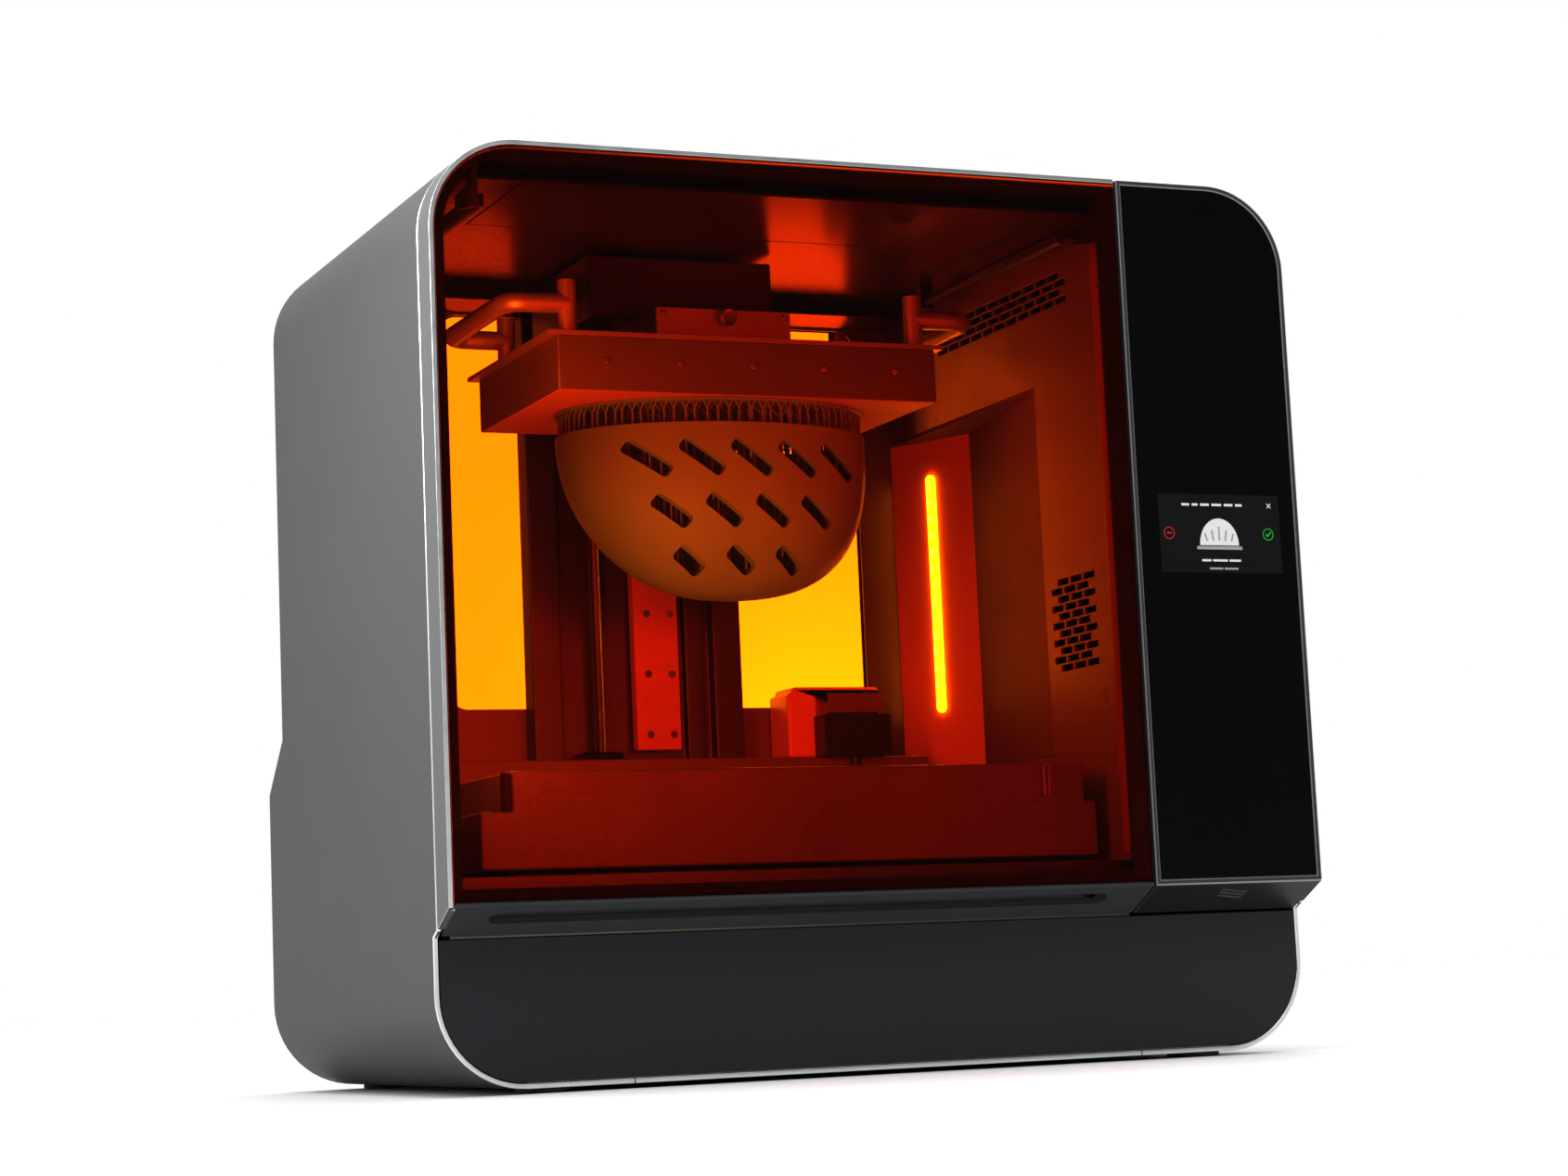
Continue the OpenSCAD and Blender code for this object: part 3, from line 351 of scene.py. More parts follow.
def add_turned(bm, origin, axis, profile, sides=28, inner=None):
    """Closed turned form: profile is (distance along axis, radius) from one end to the other.
    inner is (flat sides, how many of the last rings have them), for a socket."""
    origin, d = Vector(origin), Vector(axis).normalized()
    u = d.orthogonal().normalized()
    v = d.cross(u)
    rings = []
    for h, r in profile:
        if r <= 0:
            rings.append([bm.verts.new(origin + d * h)])
            continue
        ring = []
        for k in range(sides):
            t = 2 * math.pi * k / sides
            rr = r
            if inner and (h, r) in profile[-inner[1]:]:
                part = math.pi / inner[0]
                rr = r * math.cos(part) / math.cos((t % (2 * part)) - part)
            ring.append(bm.verts.new(origin + d * h + (u * math.cos(t) + v * math.sin(t)) * rr))
        rings.append(ring)
    for a, b in zip(rings, rings[1:]):
        for k in range(sides):
            j = (k + 1) % sides
            if len(a) == 1:
                bm.faces.new((a[0], b[j], b[k]))
            elif len(b) == 1:
                bm.faces.new((a[k], a[j], b[0]))
            else:
                bm.faces.new((a[k], a[j], b[j], b[k]))
    for ring, flip in ((rings[0], True), (rings[-1], False)):
        if len(ring) > 1:
            bm.faces.new(ring[::-1] if flip else ring)


def add_screw(bm, origin, axis, r, h):
    """Button-head screw with a hexagon socket; origin is under the head, axis points out of it."""
    socket = 0.52 * r
    add_turned(bm, origin, axis, [(0, r * 0.96), (h * 0.35, r), (h * 0.75, r * 0.86), (h, r * 0.62),
                                  (h, socket), (h * 0.3, socket), (h * 0.3, socket * 0.4)], 24, inner=(6, 3))


def islands(node):
    """Boxes of the separate solids of a CAD node, each (lowest corner, highest corner)."""
    bm = bmesh.new()
    bm.from_mesh(NODES[node].data)
    bmesh.ops.remove_doubles(bm, verts=bm.verts, dist=WELD)
    bm.verts.index_update()
    seen, found = set(), []
    for v0 in bm.verts:
        if v0.index in seen:
            continue
        stack, pts = [v0], []
        seen.add(v0.index)
        while stack:
            v = stack.pop()
            pts.append(v.co.copy())
            for e in v.link_edges:
                w = e.other_vert(v)
                if w.index not in seen:
                    seen.add(w.index)
                    stack.append(w)
        found.append(([min(p[i] for p in pts) for i in range(3)], [max(p[i] for p in pts) for i in range(3)]))
    bm.free()
    return found


# ---------------------------------------------------------------- camera, floor and light

def studio():
    """Camera, white surroundings that are darker behind the viewer's back, and a pale floor."""
    scene = bpy.context.scene
    scene.view_settings.view_transform = "Standard"
    yaw, pitch, roll = math.radians(23.655), math.radians(7.908), math.radians(-2.523)
    d = Vector((math.sin(yaw) * math.cos(pitch), math.cos(yaw) * math.cos(pitch), math.sin(pitch)))
    r = d.cross(Vector((0, 0, 1))).normalized()
    u = r.cross(d)
    c, s = math.cos(roll), math.sin(roll)
    x_axis, y_axis = c * r + s * u, -s * r + c * u
    cam_data = bpy.data.cameras.new("camera")
    cam_data.sensor_width = 36.0
    cam_data.sensor_fit = "HORIZONTAL"
    cam_data.lens = 75.21
    cam_data.shift_x, cam_data.shift_y = 0.0030, -0.0326
    cam = bpy.data.objects.new("camera", cam_data)
    scene.collection.objects.link(cam)
    m = Matrix((x_axis, y_axis, -d)).transposed().to_4x4()
    m.translation = Vector((-1.1385, -2.6281, 0.0690))
    cam.matrix_world = m
    scene.camera = cam

    world = bpy.data.worlds.new("studio")
    scene.world = world
    world.use_nodes = True
    t = world.node_tree
    bg = t.nodes["Background"]
    coord = t.nodes.new("ShaderNodeTexCoord")
    split = t.nodes.new("ShaderNodeSeparateXYZ")
    rng_node = t.nodes.new("ShaderNodeMapRange")
    rng_node.interpolation_type = "SMOOTHSTEP"
    for key, value in {"From Min": -0.85, "From Max": 0.2, "To Min": 0.12, "To Max": 1.0}.items():
        rng_node.inputs[key].default_value = value
    t.links.new(coord.outputs["Generated"], split.inputs[0])
    t.links.new(split.outputs["Y"], rng_node.inputs["Value"])
    path, brightest = t.nodes.new("ShaderNodeLightPath"), t.nodes.new("ShaderNodeMath")
    brightest.operation = "MAXIMUM"
    t.links.new(rng_node.outputs["Result"], brightest.inputs[0])
    t.links.new(path.outputs["Is Camera Ray"], brightest.inputs[1])
    t.links.new(brightest.outputs[0], bg.inputs["Strength"])
    bg.inputs["Color"].default_value = (1, 1, 1, 1)

    bm = bmesh.new()
    bmesh.ops.create_grid(bm, x_segments=2, y_segments=2, size=60.0)
    mesh = bpy.data.meshes.new("floor")
    bm.to_mesh(mesh)
    bm.free()
    floor = bpy.data.objects.new("floor", mesh)
    scene.collection.objects.link(floor)
    mesh.materials.append(surface("pale_floor", (0.93, 0.93, 0.93), rough=0.6, ior=1.2, vary=0.01, grain=0.0))


def area(name, size, power, at, to, color=(1, 1, 1), only=None, show=False):
    """Rectangular lamp at a place, turned to another. only is the pieces it lights, show lets the camera see it."""
    data = bpy.data.lights.new(name, "AREA")
    data.shape = "RECTANGLE"
    data.size, data.size_y = size
    data.energy = power
    data.color = color
    ob = bpy.data.objects.new(name, data)
    bpy.context.scene.collection.objects.link(ob)
    ob.location = at
    ob.rotation_euler = (Vector(to) - Vector(at)).to_track_quat("-Z", "Y").to_euler()
    ob.visible_camera = show
    if only:
        group = bpy.data.collections.new(name + "_lit")
        for piece in only:
            group.objects.link(piece)
        ob.light_linking.receiver_collection = group


studio()


# ---------------------------------------------------------------- casing

def front_rim(f):
    """The polished rim is every face that looks straight forward."""
    return f.normal.y < -0.95


SHELL = soft_copy("outer_shell", 1.0, 2, clamp=False, fillets=False, edge_material=M["bright_edge"],
                  face_material=(M["bright_edge"], front_rim))
COVER = soft_copy("cover_frame", 1.1, 2, fillets=False, edge_material=M["bright_edge"],
                  face_material=(M["bright_edge"], front_rim))


def column_edge(c):
    """The column's outer edge is polished, its inner edges are grey and its speaker slots plain."""
    slots_top, slots_right = 0.141, 0.380
    side_x, top_z = 0.381, 0.7365
    dx, dz, corner_r = c.x - 0.312, c.z - 0.667, 0.0698
    if c.z < slots_top and c.x < slots_right:
        return 0
    outside = c.x > side_x or c.z > top_z
    round_corner = dx > 0 and dz > 0 and math.hypot(dx, dz) > corner_r
    return 3 if outside or round_corner else 1


soft_copy("column_frame", 1.1, 2, clamp=False, edge_material=M["dark_edge"], outer_material=M["bright_edge"],
          edge_rule=column_edge, face_material=(M["lower_column"], lambda f: f.normal.z < -0.5))
PLAIN = {
    "base_pan": 0.5, "levelling_feet": 1.2, "front_lower_panel": 0.9, "rear_panel": 0.8, "rear_ledge": 0.8,
    "rear_window": 0.8, "left_liner": 0.8, "rear_deck": 1.4, "z_tower": 1.4, "screw_bearings": 0.9,
    "z_motor": 0.8, "dispenser_nozzle": 1.4, "cartridge_bays": 0.9, "power_supply": 0.8, "mainboard": 0.2,
    "power_inlet": 0.5, "fan_frame": 0.7, "column_glass": 0.5, "touch_screen": 0.3, "light_unit_rails": 0.5,
    "light_unit_motor": 0.8, "hinge_pins": 0.3, "z_carriage": 1.8, "lead_nut": 0.7, "platform_carrier": 1.4,
    "platform_top": 1.2, "resin_tank": 2.2, "tank_film": 0.0, "tank_mixer": 0.8, "light_unit": 1.6,
    "fan_rotor": 0.4, "power_switch": 0.5, "cartridge_left": 3.0, "cartridge_right": 3.0,
    "cover_border": 0.0, "handle_strip": 0.8, "cover_seal": 0.6, "strut_cylinders": 0.5,
}
SKINS = {node: soft_copy(node, width) for node, width in PLAIN.items()}
SKINS["ceiling_liner"] = soft_copy("ceiling_liner", 0.4, material=M["ceiling"])
SKINS["floor_liner"] = soft_copy("floor_liner", 0.7, face_material=(
    M["border"], lambda f: f.normal.y < -0.9 and f.calc_center_median().y < -0.2155))
SKINS["latch_plate"] = soft_copy("latch_plate", 0.8, material=M["latch_coat"])
SKINS["right_liner"] = soft_copy("right_liner", 0.5, material=M["wall"])
SKINS["back_liner"] = soft_copy("back_liner", 0.6, material=M["back_wall"])
# Downward faces get the lighter underside colour: painted light from below
SKINS["build_platform"] = soft_copy("build_platform", 1.4, face_material=(
    M["platform_under"], lambda f: f.normal.z < -0.9))
# Steel rail drawn matte bright red: painted reflection of the lit chamber
SKINS["z_rail"] = soft_copy("z_rail", 0.6, material=surface(
    "rail_painted_reflection", (0.50, 0.13, 0.11), rough=0.42, metallic=0.1, vary=0.06, vary_scale=40, grain=0.004,
    grain_scale=600, stretch=(1, 1, 0.05)))
soft_copy("strut_rods", 0.7, material=M["anodised"])
soft_copy("cover_arms", 0.4, material=M["black_plastic"])
soft_copy("hinge_brackets", 0.4, material=M["black_plastic"])
SKINS["dispenser"] = soft_copy("dispenser", 3.0, material=M["dispenser_coat"])
# Faces looking left and forward get the lighter lamp_face colour, painted light
SKINS["lamp_housing"] = soft_copy("lamp_housing", 0.7, material=M["lamp_side"], face_material=(
    M["lamp_face"], lambda f: f.normal.x < -0.5 and f.normal.y < -0.3))
soft_copy("cover_window", 0.5, edge_material=M["border"], edge_rule=lambda c: 0 if c.x > 0.2 else 1,
          face_material=(M["border"], lambda f: abs(f.normal.y) < 0.5 and f.normal.x < 0.5))
NODES["lamp_strip"].data.materials.clear()
NODES["lamp_strip"].data.materials.append(M["lamp"])


# ---------------------------------------------------------------- screws, knob and lead screw

def middle(lo, hi):
    """Centre of a box."""
    return Vector([(a + b) / 2 for a, b in zip(lo, hi)])


def screws(node, axis_of):
    """One piece per CAD node of screws: button heads with hexagon sockets, in the place of each plain disc."""
    bm = bmesh.new()
    for lo, hi in islands(node):
        axis = Vector(axis_of(lo, hi))
        k = max(range(3), key=lambda i: abs(axis[i]))
        other = (k + 1) % 3
        r, h = (hi[other] - lo[other]) / 2, hi[k] - lo[k]
        base = middle(lo, hi) - axis * h / 2
        add_screw(bm, base, axis, r, h)
    ob = mesh_object(node + "_heads", bm, M["bright_steel"], BODY_OF[node])
    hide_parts(node)


screws("stage_screws", lambda lo, hi: (0, -1, 0))
screws("liner_screws", lambda lo, hi: (0, -1, 0) if hi[1] - lo[1] < 0.5 * MM else (
    (-1, 0, 0) if lo[0] > 0 else (1, 0, 0)))


def lock_knob():
    """Knurled head with a chamfer and a shallow dish in its face, on a plain shank."""
    (x0, y0, z0), (x1, y1, z1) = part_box("lock_knob")
    cx, cz, r = (x0 + x1) / 2, (z0 + z1) / 2, (x1 - x0) / 2
    bm = bmesh.new()
    n = 72
    rings = []
    for y, k, knurl in ((y0, 0.80, 0), (y0 + 0.0006, 0.92, 0), (y0 + 0.0012, 0.97, 1), (y0 + 0.0048, 0.97, 1),
                        (y0 + 0.0054, 0.93, 0), (y0 + 0.006, 0.88, 0), (y0 + 0.006, 0.5, 0), (y1, 0.49, 0)):
        rings.append([bm.verts.new((cx + math.cos(t) * rr, y, cz + math.sin(t) * rr))
                      for i in range(n) for t in [2 * math.pi * i / n]
                      for rr in [r * (k + (0.03 if knurl and i % 3 == 0 else 0))]])
    join_rings(bm, rings)
    cap = bm.verts.new((cx, y0 + 0.0008, cz))
    for i in range(n):
        bm.faces.new((rings[0][(i + 1) % n], rings[0][i], cap))
    bm.faces.new(rings[-1])
    bmesh.ops.recalc_face_normals(bm, faces=bm.faces)
    ob = mesh_object("lock_knob_head", bm, M["bright_steel"], "lock")
    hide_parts("lock_knob")


lock_knob()


def lead_screw():
    """Screw with a real rounded thread between its plain ends."""
    lo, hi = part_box("z_leadscrew")
    cx, cy = middle(lo, hi)[0], middle(lo, hi)[1]
    r, sides = 0.005, 16
    coupling_r, neck_r, collar_r, collar_chamfer = 0.0029, 0.0044, 0.009, 0.0012
    collar = (0.253, 0.268)
    thread = (0.2705, hi[2] - 0.006)
    starts, lead, depth, ring_step = 4, 0.008, 0.0009, 0.0005
    bm = bmesh.new()
    rows = [(lo[2], coupling_r), (collar[0] - 0.0003, coupling_r), (collar[0], collar_r - collar_chamfer),
            (collar[0] + collar_chamfer, collar_r), (collar[1] - collar_chamfer, collar_r),
            (collar[1], collar_r - collar_chamfer), (collar[1] + 0.0001, neck_r), (thread[0], neck_r)]
    z = thread[0]
    while z < thread[1]:
        z += ring_step
        rows.append((z, None))
    rows += [(thread[1] + 0.0006, neck_r), (hi[2] - 0.001, 0.0046), (hi[2], 0.0038)]
    rings = []
    for z, fixed in rows:
        ring = []
        for i in range(sides):
            t = 2 * math.pi * i / sides
            wave = 0.5 + 0.5 * math.cos(2 * math.pi * (z * starts / lead) - starts * t)
            rr = fixed if fixed else r - depth * (1 - min(1.0, wave * 1.5))
            ring.append(bm.verts.new((cx + rr * math.cos(t), cy + rr * math.sin(t), z)))
        rings.append(ring)
    join_rings(bm, rings)
    bm.faces.new(rings[0][::-1])
    bm.faces.new(rings[-1])
    ob = mesh_object("z_leadscrew_thread", bm, M["bright_steel"], "lift_screw", smooth=50)
    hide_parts("z_leadscrew")


lead_screw()


# ---------------------------------------------------------------- lamp

def lamp_dots():
    """A row of small lit beads along one edge of the lamp's diffuser."""
    mesh = NODES["lamp_strip"].data
    face = max((p for p in mesh.polygons if p.normal.x < -0.3 and abs(p.normal.z) < 0.1), key=lambda p: p.area)
    n = Vector((face.normal.x, face.normal.y, 0)).normalized()
    side = Vector((-n.y, n.x, 0))
    lo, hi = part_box("lamp_strip")
    c = middle(lo, hi) + n * 0.00125
    count = 14
    bm = bmesh.new()
    for k in range(count):
        z = lo[2] + 0.010 + (hi[2] - lo[2] - 0.020) * k / (count - 1)
        p = Vector((c.x, c.y, z)) - side * 0.0015
        add_turned(bm, p, n, [(0, 0.0022), (0.0004, 0.0022), (0.0009, 0.0015), (0.0011, 0)], 14)
    bmesh.ops.recalc_face_normals(bm, faces=bm.faces)
    ob = mesh_object("lamp_beads", bm, M["lamp_dot"], "frame")


lamp_dots()


# ---------------------------------------------------------------- the sample print

def sample_print():
    """An oval bowl, fuller on its right, with even rows of slots in its front, hung from a raft by thin posts."""
    lo, hi = (Vector(v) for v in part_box("sample_print"))
    c = middle(lo, hi)
    top = 0.552
    a, b, h = (hi.x - lo.x) / 2, (hi.y - lo.y) / 2, top - lo.z
    wall = 0.008
    around, down = 96, 26

    def fullness(across):
        return 2.0 + 0.9 * max(0.0, across)

    def skin(bm, k_a, k_b, k_h):
        rings = []
        for i in range(down):
            t = (math.pi / 2) * i / down
            ring = []
            for j in range(around):
                u = 2 * math.pi * j / around
                n = 2 / fullness(math.cos(u))
                r, z = math.cos(t) ** n, math.sin(t) ** n
                ring.append(bm.verts.new((c.x + k_a * r * math.cos(u), c.y + k_b * r * math.sin(u),
                                          top - k_h * z)))
            rings.append(ring)
        return rings, bm.verts.new((c.x, c.y, top - k_h))

    def helper(name, bm):
        """A closed mesh as an object that is only there while the bowl is cut."""
        bmesh.ops.recalc_face_normals(bm, faces=bm.faces)
        mesh = bpy.data.meshes.new(name)
        bm.to_mesh(mesh)
        bm.free()
        ob = bpy.data.objects.new(name, mesh)
        bpy.context.scene.collection.objects.link(ob)
        return ob

    def bowl():
        """Outer and inner skin, joined at the rim."""
        bm = bmesh.new()
        outer, tip_o = skin(bm, a, b, h)
        inner, tip_i = skin(bm, a - wall, b - wall, h - wall)
        for rings, tip, flip in ((outer, tip_o, False), (inner, tip_i, True)):
            for r0, r1 in zip(rings, rings[1:]):
                for j in range(around):
                    k = (j + 1) % around
                    quad = (r0[j], r0[k], r1[k], r1[j])
                    bm.faces.new(quad if flip else quad[::-1])
            for j in range(around):
                k = (j + 1) % around
                tri = (rings[-1][j], rings[-1][k], tip)
                bm.faces.new(tri if flip else tri[::-1])
        for j in range(around):
            k = (j + 1) % around
            bm.faces.new((outer[0][j], outer[0][k], inner[0][k], inner[0][j]))
        return helper("bowl", bm)

    def slots():
        """Blocks with round corners that cut the rows of slots, from in front of the bowl to near its middle."""
        rows = ((-30, 5, 44), (-74, 4, 38), (-114, 3, 30))  # height from the rim, how many, length, in mm
        pitch, width, turn, corner_r = 44, 12, math.radians(-35), 0.004
        y0, y1 = lo.y - 0.02, c.y - 0.006
        bm = bmesh.new()
        for z, count, length in rows:
            for k in range(count):
                x = (k - (count - 1) / 2) * pitch
                corners = []
                for u, w in ((-1, -1), (1, -1), (1, 1), (-1, 1)):
                    along, across = u * length / 2, w * width / 2
                    corners.append((x + along * math.cos(turn) - across * math.sin(turn),
                                    z + along * math.sin(turn) + across * math.cos(turn)))
                front, back = ([bm.verts.new((c.x + px * MM, y, top + pz * MM)) for px, pz in corners]
                               for y in (y0, y1))
                bm.faces.new(front)
                bm.faces.new(back[::-1])
                edges = []
                for i in range(4):
                    j = (i + 1) % 4
                    bm.faces.new((front[j], front[i], back[i], back[j]))
                    edges.append(bm.edges.get((front[i], back[i])))
                bmesh.ops.bevel(bm, geom=edges, offset=corner_r, segments=4, profile=0.5, affect="EDGES",
                                clamp_overlap=True)
        return helper("cut", bm)

    bowl_ob, cut_ob = bowl(), slots()
    m = bowl_ob.modifiers.new("cut", "BOOLEAN")
    m.operation, m.solver, m.object = "DIFFERENCE", "EXACT", cut_ob
    m.use_self = True
    done = bpy.data.meshes.new_from_object(bowl_ob.evaluated_get(bpy.context.evaluated_depsgraph_get()))
    bpy.data.objects.remove(cut_ob)
    bpy.data.objects.remove(bowl_ob)

    bm = bmesh.new()
    bm.from_mesh(done)
    raft_z = (hi.z - 0.002, hi.z)
    rim = []
    for z, k in ((raft_z[0], 0.985), (raft_z[0] + 0.0006, 1.0), (raft_z[1] - 0.0004, 1.0), (raft_z[1], 0.995)):
        rim.append([bm.verts.new((c.x + a * k * math.cos(u), c.y + b * k * math.sin(u), z))
                    for u in [2 * math.pi * j / around for j in range(around)]])
    join_rings(bm, rim)
    bm.faces.new(rim[0][::-1])
    bm.faces.new(rim[-1])

    def floor_under(x, y):
        k = math.hypot((x - c.x) / (a - wall), (y - c.y) / (b - wall))
        if k >= 1:
            return top
        n = fullness((x - c.x) / (a - wall) / max(k, 0.01))
        return top - (h - wall) * (1 - k ** n) ** (1 / n)

    def post(x, y, low, along, r=0.0009):
        """Post from low up to a fork under the raft; along is the fork's direction."""
        fork_drop, fork_reach = 0.0065, 0.0036
        neck = raft_z[0] - fork_drop
        add_rod(bm, (x, y, low), (x, y, neck), r, 5)
        for side in (-1, 1):
            tip = (x + side * along[0] * fork_reach, y + side * along[1] * fork_reach, raft_z[0] + 0.0002)
            add_rod(bm, (x, y, neck - 0.0004), tip, r * 0.8, 4)

    def brace(p, q, low):
        """Zigzag between two posts."""
        cell, room, r = 0.012, 0.013, 0.00055
        z, up = raft_z[0] - 0.002, False
        while z - room > low:
            ends = ((*p, z), (*q, z - cell)) if not up else ((*q, z), (*p, z - cell))
            add_rod(bm, ends[0], ends[1], r, 4)
            if rng.random() < 0.4:
                add_rod(bm, (*p, z - cell), (*q, z), r, 4)
            z, up = z - cell, not up

    rim_posts = 88
    for k in range(rim_posts):
        u = 2 * math.pi * (k + rng.uniform(-0.2, 0.2)) / rim_posts
        x, y = c.x + (a - 0.004) * math.cos(u), c.y + (b - 0.004) * math.sin(u)
        post(x, y, top - 0.001, (-math.sin(u), math.cos(u)))
    step = 0.0105
    posts = {}
    for i in range(-12, 13):
        for j in range(-8, 9):
            x = c.x + i * step + rng.uniform(-1, 1) * 0.0015
            y = c.y + j * step + rng.uniform(-1, 1) * 0.0015
            if math.hypot((x - c.x) / (a - 0.012), (y - c.y) / (b - 0.012)) > 1:
                continue
            low = floor_under(x, y)
            if low < top - 0.05 and rng.random() < 0.75:
                low = top - rng.uniform(0.004, 0.030)
            posts[i, j] = (x, y, low)
            post(x, y, low, (1, 0), 0.0008)
    for (i, j), (x, y, low) in posts.items():
        for other in ((i + 1, j), (i, j + 1)):
            if other in posts and rng.random() < 0.6:
                x2, y2, low2 = posts[other]
                brace((x, y), (x2, y2), max(low, low2, top - 0.030))
    tower = [(c.x + dx * MM, lo.y + dy * MM) for dx, dy in ((0, 6), (15, 7), (30, 8), (40, 9), (16, 20), (30, 21))]
    for x, y in tower:
        add_rod(bm, (x, y, top - rng.uniform(0.014, 0.032)), (x, y, raft_z[0] + 0.0002), 0.0010, 5)
    for p, q in ((0, 1), (1, 2), (2, 3), (1, 4), (2, 5), (4, 5)):
        brace(tower[p], tower[q], top - 0.030)
    ob = mesh_object("printed_bowl", bm, M["printed_resin"], "lift", smooth=50)
    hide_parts("sample_print")
    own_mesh(ob)
    return ob


print_piece = sample_print()


# ---------------------------------------------------------------- small details

def box_piece(name, lo, hi, material, body="frame", round_mm=0.0):
    """Small block between two corners in millimetres."""
    bm = bmesh.new()
    bmesh.ops.create_cube(bm, size=1.0)
    for v in bm.verts:
        v.co = Vector([(lo[i] + hi[i]) / 2 + v.co[i] * (hi[i] - lo[i]) for i in range(3)]) * MM
    if round_mm:
        bmesh.ops.bevel(bm, geom=bm.edges[:], offset=round_mm * MM, segments=2, profile=0.5, affect="EDGES")
    return mesh_object(name, bm, M[material], body)


def tank_details():
    """A long rounded outline pressed into the front of the tank, drawn as a flat ring in a lighter colour that paints
    the highlight along it, and a round post at its left corner.
    """
    x0, x1, z, r, y = -0.287, -0.229, 0.233, 0.006, -0.190
    bm = bmesh.new()
    rings = []
    for k in (1.0, 0.90):
        pts = []
        for cx, start in ((x1 - r, -90), (x0 + r, 90)):
            for i in range(13):
                t = math.radians(start + 15 * i)
                pts.append((cx + r * k * math.cos(t), z + r * k * math.sin(t)))
        rings.append([bm.verts.new((px, y - 0.00008, pz)) for px, pz in pts])
    n = len(rings[0])
    for i in range(n):
        j = (i + 1) % n
        bm.faces.new((rings[0][j], rings[0][i], rings[1][i], rings[1][j]))
    bmesh.ops.recalc_face_normals(bm, faces=bm.faces)
    for f in bm.faces:
        if f.normal.y > 0:
            f.normal_flip()
    # Lighter outline ring: painted highlight
    mesh_object("tank_outline", bm, M["mark"], BODY_OF["resin_tank"])
    bm = bmesh.new()
    add_turned(bm, (-0.3115, -0.1850, 0.2182), (0, 0, 1), [(0, 0.0040), (0.0008, 0.0046), (0.0292, 0.0046),
                                                            (0.0304, 0.0036), (0.0306, 0)], 24)
    bmesh.ops.recalc_face_normals(bm, faces=bm.faces)
    mesh_object("tank_post", bm, M["tank_plastic"], BODY_OF["resin_tank"])


tank_details()
box_piece("dispenser_label_field", (114, 136.4, 324), (170, 137, 342), "mark", round_mm=0.2)
# Thin strip in the lit lamp-face colour on the right wall's front edge: a painted highlight
box_piece("wall_edge_painted_highlight", (221.3, -224, 172), (222, -213, 712), "lamp_face", round_mm=0.2)
for side in (-1, 1):
    box_piece("rim_joint_%s" % ("left" if side < 0 else "right"), (side * 225 - 0.5, -218.06, 4),
              (side * 225 + 0.5, -217.9, 8.1), "border")


def rear_screws():
    """Button heads round the edge of the rear panel."""
    bm = bmesh.new()
    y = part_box("rear_panel")[1][1]
    for x, z in ((-358, 360), (-358, 520), (-358, 640), (358, 360), (358, 520), (358, 640), (-250, 722), (-85, 722),
                 (85, 722), (250, 722)):
        add_screw(bm, (x * MM, y, z * MM), (0, 1, 0), 0.0036, 0.0018)
    mesh_object("rear_panel_screws", bm, M["bright_steel"], "frame")


rear_screws()


# ---------------------------------------------------------------- display

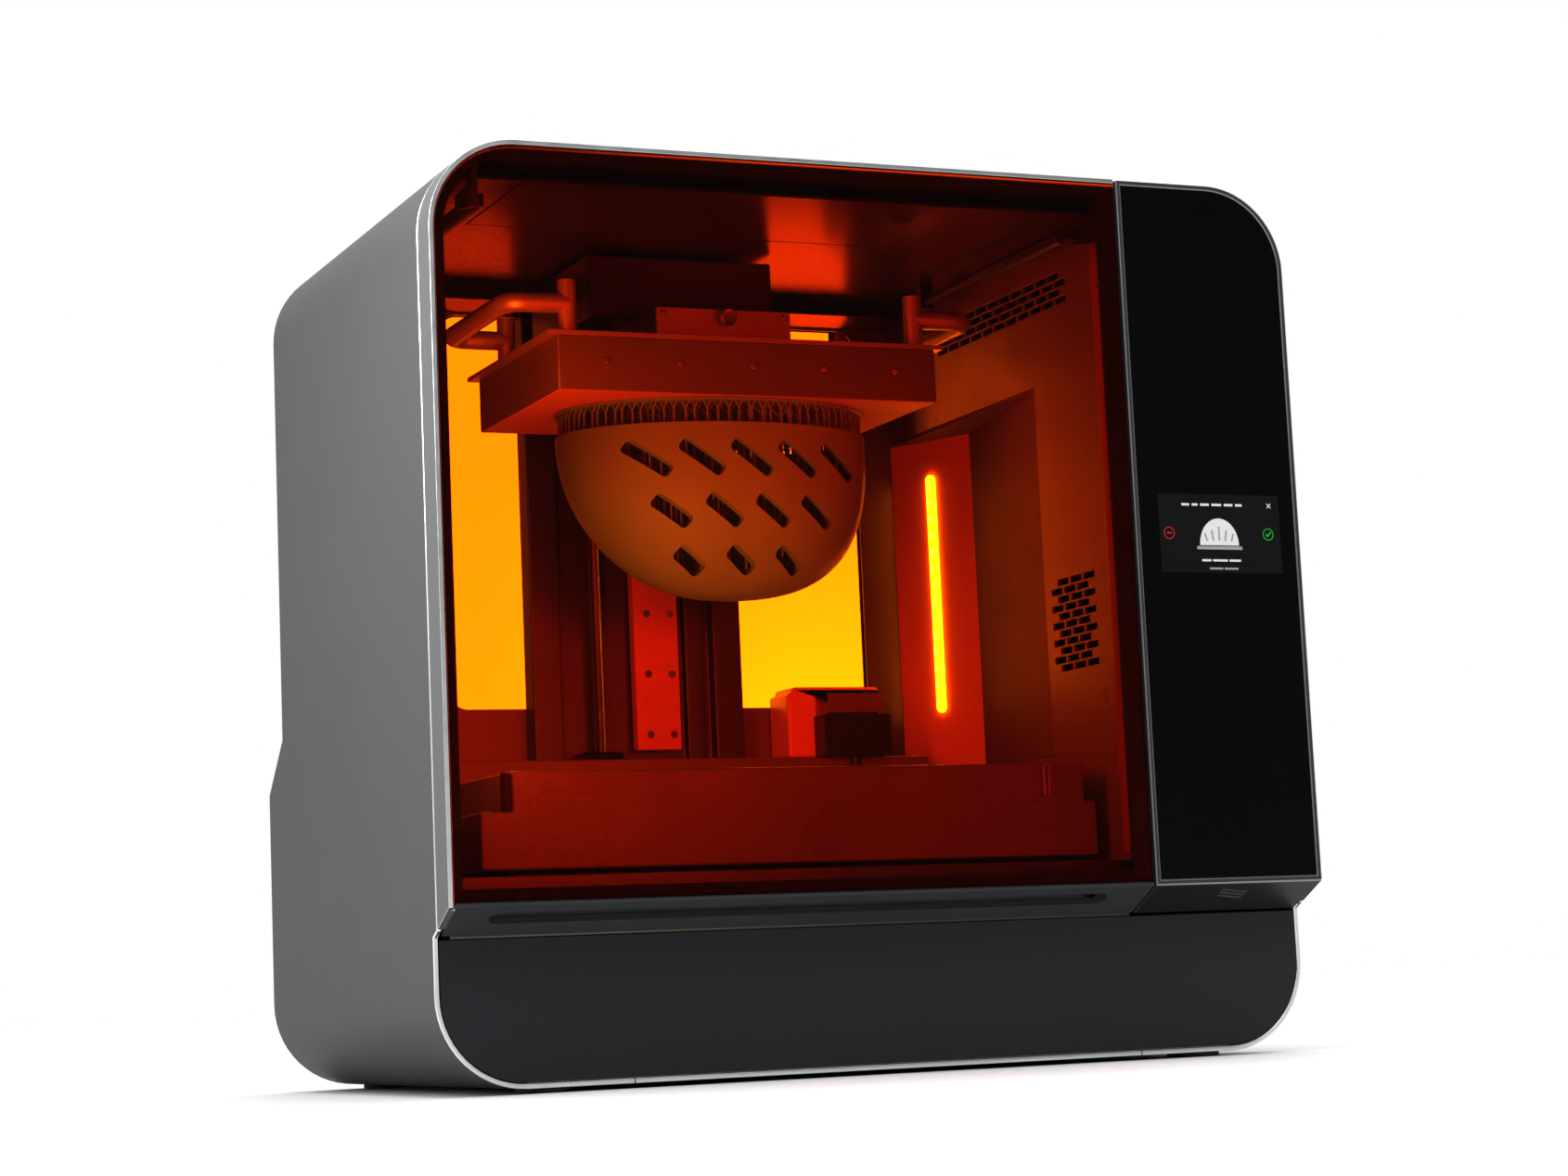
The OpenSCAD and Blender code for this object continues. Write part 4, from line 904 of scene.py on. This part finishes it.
def display():
    """A lit picture made of plain shapes: a dome, two round buttons, a cross and blank bars."""
    y_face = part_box("column_glass")[0][1]
    layers = {"back": 0.00004, "shape": 0.00009, "top": 0.00013}

    def plate(name, polygon_list, layer, material):
        bm = bmesh.new()
        y = y_face - layers[layer]
        for pts in polygon_list:
            bm.faces.new([bm.verts.new((x * MM, y, z * MM)) for x, z in pts])
        bmesh.ops.recalc_face_normals(bm, faces=bm.faces)
        for f in bm.faces:
            if f.normal.y > 0:
                f.normal_flip()
        ob = mesh_object(name, bm, material, "frame")

    def rect(x0, x1, z0, z1):
        return [(x0, z0), (x1, z0), (x1, z1), (x0, z1)]

    def ring(cx, cz, r, w, n=40):
        out = []
        for k in range(n):
            a0, a1 = 2 * math.pi * k / n, 2 * math.pi * (k + 1) / n
            out.append([(cx + rr * math.cos(t), cz + rr * math.sin(t))
                        for rr, t in ((r, a0), (r, a1), (r - w, a1), (r - w, a0))])
        return out

    def bar(cx, cz, w, h, angle):
        c, s = math.cos(angle), math.sin(angle)
        return [(cx + x * c - z * s, cz + x * s + z * c) for x, z in rect(-w / 2, w / 2, -h / 2, h / 2)]

    white = glow("display_white", (0.9, 0.9, 0.92), 0.85, vary=0.04, scale=300)
    grey = glow("display_grey", (0.55, 0.56, 0.58), 0.6, vary=0.05, scale=300)
    red = glow("display_red", (0.85, 0.03, 0.03), 0.7, vary=0.05, scale=300)
    green = glow("display_green", (0.02, 0.55, 0.05), 0.8, vary=0.05, scale=300)
    plate("display_field", [rect(247.5, 365.5, 403.5, 470.5)], "back",
          glow("display_field", (0.30, 0.31, 0.33), 0.030, vary=0.1, scale=25))
    x, words = 270.0, [7.5, 5.5, 8.5, 9.5, 8.5, 6.5]
    for w in words:
        plate("display_word_%d" % int(x), [rect(x, x + w, 460.6, 462.6)], "shape", white)
        x += w + 2.6
    plate("display_line_a", [rect(287, 296, 413.2, 415.0), rect(297.6, 312, 413.2, 415.0),
                             rect(313.6, 325, 413.2, 415.0)], "shape", white)
    plate("display_line_b", [rect(294, 307, 406.4, 408.0), rect(308.4, 322, 406.4, 408.0)], "shape", grey)
    plate("display_cross", [bar(355.5, 461.6, 5.2, 0.8, math.pi / 4), bar(355.5, 461.6, 5.2, 0.8, -math.pi / 4)],
          "shape", white)
    plate("display_red_ring", ring(256.6, 437, 5.2, 0.7), "shape", red)
    plate("display_red_mark", [bar(256.6, 437, 4.6, 1.3, 0)], "shape", red)
    plate("display_green_ring", ring(353.4, 437, 5.2, 0.7), "shape", green)
    plate("display_green_mark", [bar(352.2, 436.0, 3.0, 1.2, -math.pi / 4), bar(354.4, 437.2, 5.0, 1.2, math.pi / 4)],
          "shape", green)
    dome = [(305 + 19 * math.cos(t), 427 + 23 * math.sin(t)) for t in [math.pi * k / 24 for k in range(25)]]
    plate("display_dome", [dome], "shape", white)
    plate("display_dome_foot", [rect(283, 327, 423.4, 426.2)], "shape", grey)
    for k in range(-2, 3):
        plate("display_dome_slot_%d" % (k + 2), [bar(305 + 6.4 * k, 437 - abs(k) * 1.6, 1.7, 12 - 2.6 * abs(k),
                                                     -0.16 * k)], "top", grey)


display()


# ---------------------------------------------------------------- light

sun = bpy.data.lights.new("ceiling_light", "SUN")
sun.energy, sun.angle = 1.7, math.radians(70)
sun_ob = bpy.data.objects.new("ceiling_light", sun)
bpy.context.scene.collection.objects.link(sun_ob)
sun_ob.rotation_euler = (math.radians(-12), math.radians(6), 0)

area("front_high", (1.6, 1.2), 34, (-0.5, -2.1, 2.6), (-0.1, 0, 0.35))
area("front_left", (0.6, 0.8), 3.8, (-1.35, -1.25, 1.25), (-0.3, -0.1, 0.45))
area("side_front", (0.25, 0.45), 15, (-0.95, -0.55, 0.86), (-0.385, -0.15, 0.50), only=[SHELL, COVER])
WALLS = [SKINS[n] for n in ("back_liner", "left_liner", "right_liner", "ceiling_liner", "floor_liner", "lamp_housing",
                            "rear_deck", "resin_tank", "dispenser", "dispenser_nozzle")]
LIFT = [SKINS[n] for n in ("z_tower", "z_rail", "z_carriage", "latch_plate", "platform_carrier", "build_platform",
                           "platform_top")]
area("behind_window", (0.62, 0.46), 5.05, (0.02, 0.34, 0.50), (0.02, 0.0, 0.50), only=WALLS, show=True)
area("print_light", (0.25, 0.25), 0.76, (-0.17, -0.210, 0.33), (-0.07, 0, 0.46), (0.76, 1.0, 0.88),
     only=[print_piece])
area("chamber_glow", (0.35, 0.12), 0.20, (-0.06, -0.15, 0.27), (-0.06, 0.0, 0.72), (1.0, 0.45, 0.3),
     only=WALLS + LIFT)
area("chamber_left", (0.08, 0.34), 1.5, (-0.345, -0.205, 0.44), (0.1, 0.15, 0.44), (1.0, 0.4, 0.3),
     only=WALLS + LIFT)
area("front_fill", (0.8, 0.3), 11, (-0.1, -1.25, 0.42), (-0.05, 0, 0.36), (1.0, 0.95, 0.55), only=[SKINS[n] for n in (
    "resin_tank", "floor_liner", "rear_deck", "z_tower", "z_rail", "dispenser", "latch_plate", "back_liner")])
area("lamp_fill", (0.10, 0.22), 0.42, (0.0, -0.19, 0.36), (0.25, 0.0, 0.42), (1.0, 0.30, 0.22),
     only=[SKINS["lamp_housing"], SKINS["right_liner"]])
